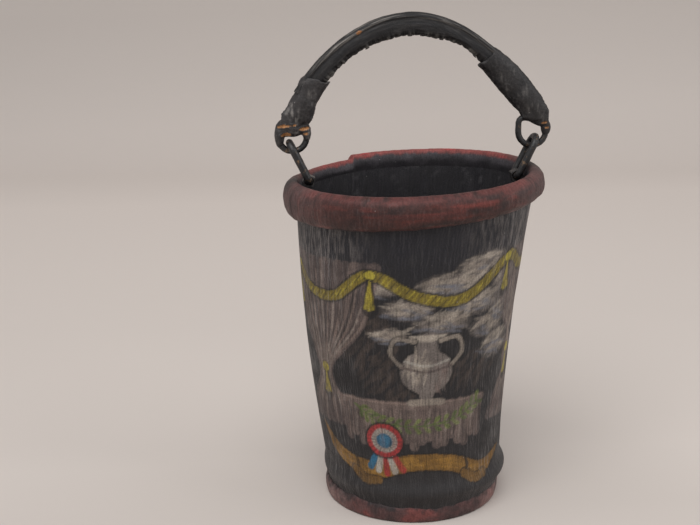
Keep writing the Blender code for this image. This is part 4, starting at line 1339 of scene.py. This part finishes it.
# %% Links, rings, hoop and rivets
IRON_PIECES = (
    ("left_link", "left_link"),
    ("right_link", "right_link"),
    ("left_eye_ring", "handle"),
    ("right_eye_ring", "handle"),
)
for seed, (node, body) in enumerate(IRON_PIECES, 120):
    rod = softened(node, node + "_iron", 0.5, 4)
    spots, normals = places(rod)
    move_points(rod, spots + normals * (0.3 * mottle(spots, 6, seed))[:, None])
    finish_piece(rod, IRON, body, "blackened_iron", node)

hoop = softened("rim_hoop", "rim_hoop_iron", 1.4, 1)
move_points(hoop, settle(places(hoop)[0]))
finish_piece(hoop, IRON, "bucket", "blackened_iron", "rim_hoop")

RIVET_NAMES = itertools.product(("left", "right"), ("rivet", "rove"), ("front", "back"))
RIVET_NODES = [f"{hand}_tab_{kind}_{place}" for hand, kind, place in RIVET_NAMES]
for node in RIVET_NODES:
    solid = frame["nodes"][node]
    solid.data.materials.clear()
    solid.data.materials.append(COPPER)
print("CAD nodes with a new finish:", len(RIVET_NODES))

# %% [markdown]
# ## Stitches
#
# Waxed thread closes the wall at the back and the grip along its inner edge. A stitch is the same small shape
# again and again along a line, which is what Geometry Nodes are for: the line is cut into even steps, and a
# thin bead lies along it at each step.

# %% Stitch tree
BEAD_SEGMENTS = 8
BEAD_RINGS = 6
STITCH_NODES = {
    "given": "NodeGroupInput",
    "curve": "GeometryNodeMeshToCurve",
    "steps": "GeometryNodeResampleCurve",
    "way": "GeometryNodeInputTangent",
    "turn": "FunctionNodeAlignRotationToVector",
    "bead": "GeometryNodeMeshUVSphere",
    "size": "ShaderNodeCombineXYZ",
    "lay": "GeometryNodeInstanceOnPoints",
    "real": "GeometryNodeRealizeInstances",
    "finish": "GeometryNodeSetMaterial",
    "out": "NodeGroupOutput",
}
STITCH_LINKS = (
    ("given", "Line", "curve", "Mesh"),
    ("curve", "Curve", "steps", "Curve"),
    ("given", "Step", "steps", "Length"),
    ("steps", "Curve", "lay", "Points"),
    ("bead", "Mesh", "lay", "Instance"),
    ("way", "Tangent", "turn", "Vector"),
    ("turn", "Rotation", "lay", "Rotation"),
    ("given", "Length", "size", "X"),
    ("given", "Thickness", "size", "Y"),
    ("given", "Thickness", "size", "Z"),
    ("size", "Vector", "lay", "Scale"),
    ("lay", "Instances", "real", "Geometry"),
    ("real", "Geometry", "finish", "Geometry"),
    ("finish", "Geometry", "out", "Stitches"),
)


def stitch_tree(thread):
    """Geometry Nodes that lay stitches along the edges of a mesh."""
    tree = bpy.data.node_groups.new("row_of_stitches", "GeometryNodeTree")
    add_sockets(tree, "INPUT", "Geometry", "Line")
    add_sockets(tree, "INPUT", "Float", "Step", "Length", "Thickness")
    add_sockets(tree, "OUTPUT", "Geometry", "Stitches")
    made = {key: tree.nodes.new(kind) for key, kind in STITCH_NODES.items()}
    made["steps"].mode = "LENGTH"
    made["turn"].axis = "X"
    made["bead"].inputs["Segments"].default_value = BEAD_SEGMENTS
    made["bead"].inputs["Rings"].default_value = BEAD_RINGS
    made["bead"].inputs["Radius"].default_value = 0.5
    made["finish"].inputs["Material"].default_value = thread
    for source, output, target, entry in STITCH_LINKS:
        tree.links.new(made[source].outputs[output], made[target].inputs[entry])
    return tree


STITCH_TREE = stitch_tree(THREAD)
print("stitch tree:", len(STITCH_TREE.nodes), "nodes")

# %% [markdown]
# The rows follow points of the wall and the grip themselves, lifted by a hair, so the thread lies on the
# leather wherever it is dented.

# %% Rows of stitches
THREAD_LIFT = 0.2
SEAM_SPAN = (22, 284)
SEAM_TURNS = (0.045, 0.15)
SEAM_ENDS = 60


def stitched(name, rows, step, length, thickness, body):
    """Rows of stitches along lines in mm, as one plain mesh on one body."""
    mesh = bpy.data.meshes.new(name)
    counts = np.cumsum([0] + [len(row) for row in rows])
    edges = [(k, k + 1) for low, high in zip(counts, counts[1:]) for k in range(low, high - 1)]
    mesh.from_pydata((np.vstack(rows) * MM).tolist(), edges, [])
    piece = show(name, mesh)
    modifier = piece.modifiers.new("stitches", "NODES")
    modifier.node_group = STITCH_TREE
    sizes = {"Step": step, "Length": length, "Thickness": thickness}
    for socket in STITCH_TREE.interface.items_tree:
        if socket.name in sizes:
            modifier[socket.identifier] = sizes[socket.name] * MM
    made_plain(piece)
    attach(piece, body)
    print(name, len(piece.data.polygons), "faces")


def wall_line(angle, low, high):
    """An upright line on the wall's outside, from the wall's own grid."""
    column = int(np.argmin(np.abs(turned_from(wall_angles, angle))))
    rows = np.flatnonzero(is_outer & (wall_heights >= low) & (wall_heights <= high))[::6]
    out = np.array([math.cos(wall_angles[column]), math.sin(wall_angles[column]), 0])
    return wall_grid[rows, column] + THREAD_LIFT * out


SEAM_ROWS = [wall_line(SEAM_ANGLE + turn, *SEAM_SPAN) for turn in SEAM_TURNS]
stitched("wall_seam_stitches", SEAM_ROWS, step=7, length=5.2, thickness=1.3, body="bucket")
inner_edge = int(np.argmin(section[:, 0]))
sewn = slice(SEAM_ENDS, -SEAM_ENDS)
GRIP_SEAM = grip_grid[sewn, inner_edge] + outward[sewn] * THREAD_LIFT
stitched("grip_seam_stitches", [GRIP_SEAM], step=6, length=4.6, thickness=1.2, body="handle")

# %% [markdown]
# ## Floor and light
#
# The bucket stands on a plain warm grey sweep: a floor that curves up into a backdrop. A flat floor and a
# wall would show a line behind the bucket. The paper's colour is painted light and shade that change slowly
# from the front to the top, brightest on the floor behind the bucket.

# %% Sweep
SWEEP_DEPTH = 1.6
SWEEP_CURVE = 0.7
SWEEP_FRONT = -3.5
SWEEP_TOP = 4
SWEEP_HALF = 4
UNDER_FOOT = 0.0004
turns = np.linspace(0, math.pi / 2, 20)
profile = [(SWEEP_FRONT, 0), (0, 0)]
profile += [(SWEEP_DEPTH + SWEEP_CURVE * math.sin(t), SWEEP_CURVE * (1 - math.cos(t))) for t in turns]
profile += [(SWEEP_DEPTH + SWEEP_CURVE, SWEEP_TOP)]
way = Matrix.Rotation(CAMERA_YAW, 3, "Z")
corners = [way @ Vector((x, y, z - UNDER_FOOT)) for y, z in profile for x in (-SWEEP_HALF, SWEEP_HALF)]
strips = [(2 * k, 2 * k + 1, 2 * k + 3, 2 * k + 2) for k in range(len(profile) - 1)]
sweep_mesh = bpy.data.meshes.new("grey_sweep")
sweep_mesh.from_pydata(corners, [], strips)
sweep_mesh.shade_smooth()
sweep = show("grey_sweep", sweep_mesh)
print("sweep", len(sweep_mesh.polygons), "faces")

# %% Paper
PAPER_SPAN = (-0.2, 2.7)
# painted light and shade on the paper: pale values at places along the sweep
PAPER_PAINTED_SHADING = (
    (-0.06, 0.63), (0.07, 0.7), (0.54, 0.73), (0.87, 0.785),
    (1.34, 0.85), (1.99, 0.775), (2.3, 0.7), (2.54, 0.65),
)
paper, paper_tree, paper_shader = new_finish("warm_grey_paper")
paper_place = add_node(paper_tree, "SeparateXYZ", {0: add_node(paper_tree, "TexCoord").outputs["Object"]})
paper_run = add_node(paper_tree, "Math", {0: paper_place.outputs["Y"], 1: paper_place.outputs["Z"]})
paper_part = remap(paper_tree, paper_run.outputs[0], *PAPER_SPAN, 0.0, 1.0)
paper_shade = add_node(paper_tree, "ValToRGB", {0: paper_part})
shades = paper_shade.color_ramp.elements
for place, pale in PAPER_PAINTED_SHADING:
    spot = (place - PAPER_SPAN[0]) / (PAPER_SPAN[1] - PAPER_SPAN[0])
    shades.new(spot).color = (pale, pale * 0.9, pale * 0.827, 1)
shades.remove(shades[0])
shades.remove(shades[-1])
paper_tree.links.new(paper_shade.outputs["Color"], paper_shader.inputs["Base Color"])
paper_shader.inputs["Roughness"].default_value = 0.9
paper_shader.inputs["Specular IOR Level"].default_value = 0.1
sweep_mesh.materials.append(paper)
print("paper shades:", len(shades))

# %% [markdown]
# One broad soft lamp above the camera, a weak one on the right and a pale world give the quiet light of a
# museum table. A sun would throw hard shadows of the handle on the wall.

# %% Light
def soft_lamp(name, place, target, size, power):
    """A square area lamp that looks at a target."""
    lamp = bpy.data.lights.new(name, "AREA")
    lamp.size = size
    lamp.energy = power
    holder = bpy.data.objects.new(name, lamp)
    holder.location = place
    holder.rotation_euler = (Vector(target) - Vector(place)).to_track_quat("-Z", "Y").to_euler()
    bpy.context.scene.collection.objects.link(holder)


soft_lamp("broad_lamp", (-0.5, -1.0, 1.9), target=(0, 0, 0.2), size=1.5, power=26)
soft_lamp("right_fill", (1.5, -0.6, 1.1), target=(0, 0, 0.25), size=1.2, power=8)
world = bpy.data.worlds.new("pale_room")
bpy.context.scene.world = world
world.use_nodes = True
room = world.node_tree.nodes["Background"].inputs
room["Color"].default_value = (0.95, 0.97, 1.0, 1)
room["Strength"].default_value = 0.5
bpy.context.scene.view_settings.view_transform = "Standard"
print("lamps: broad, right fill")
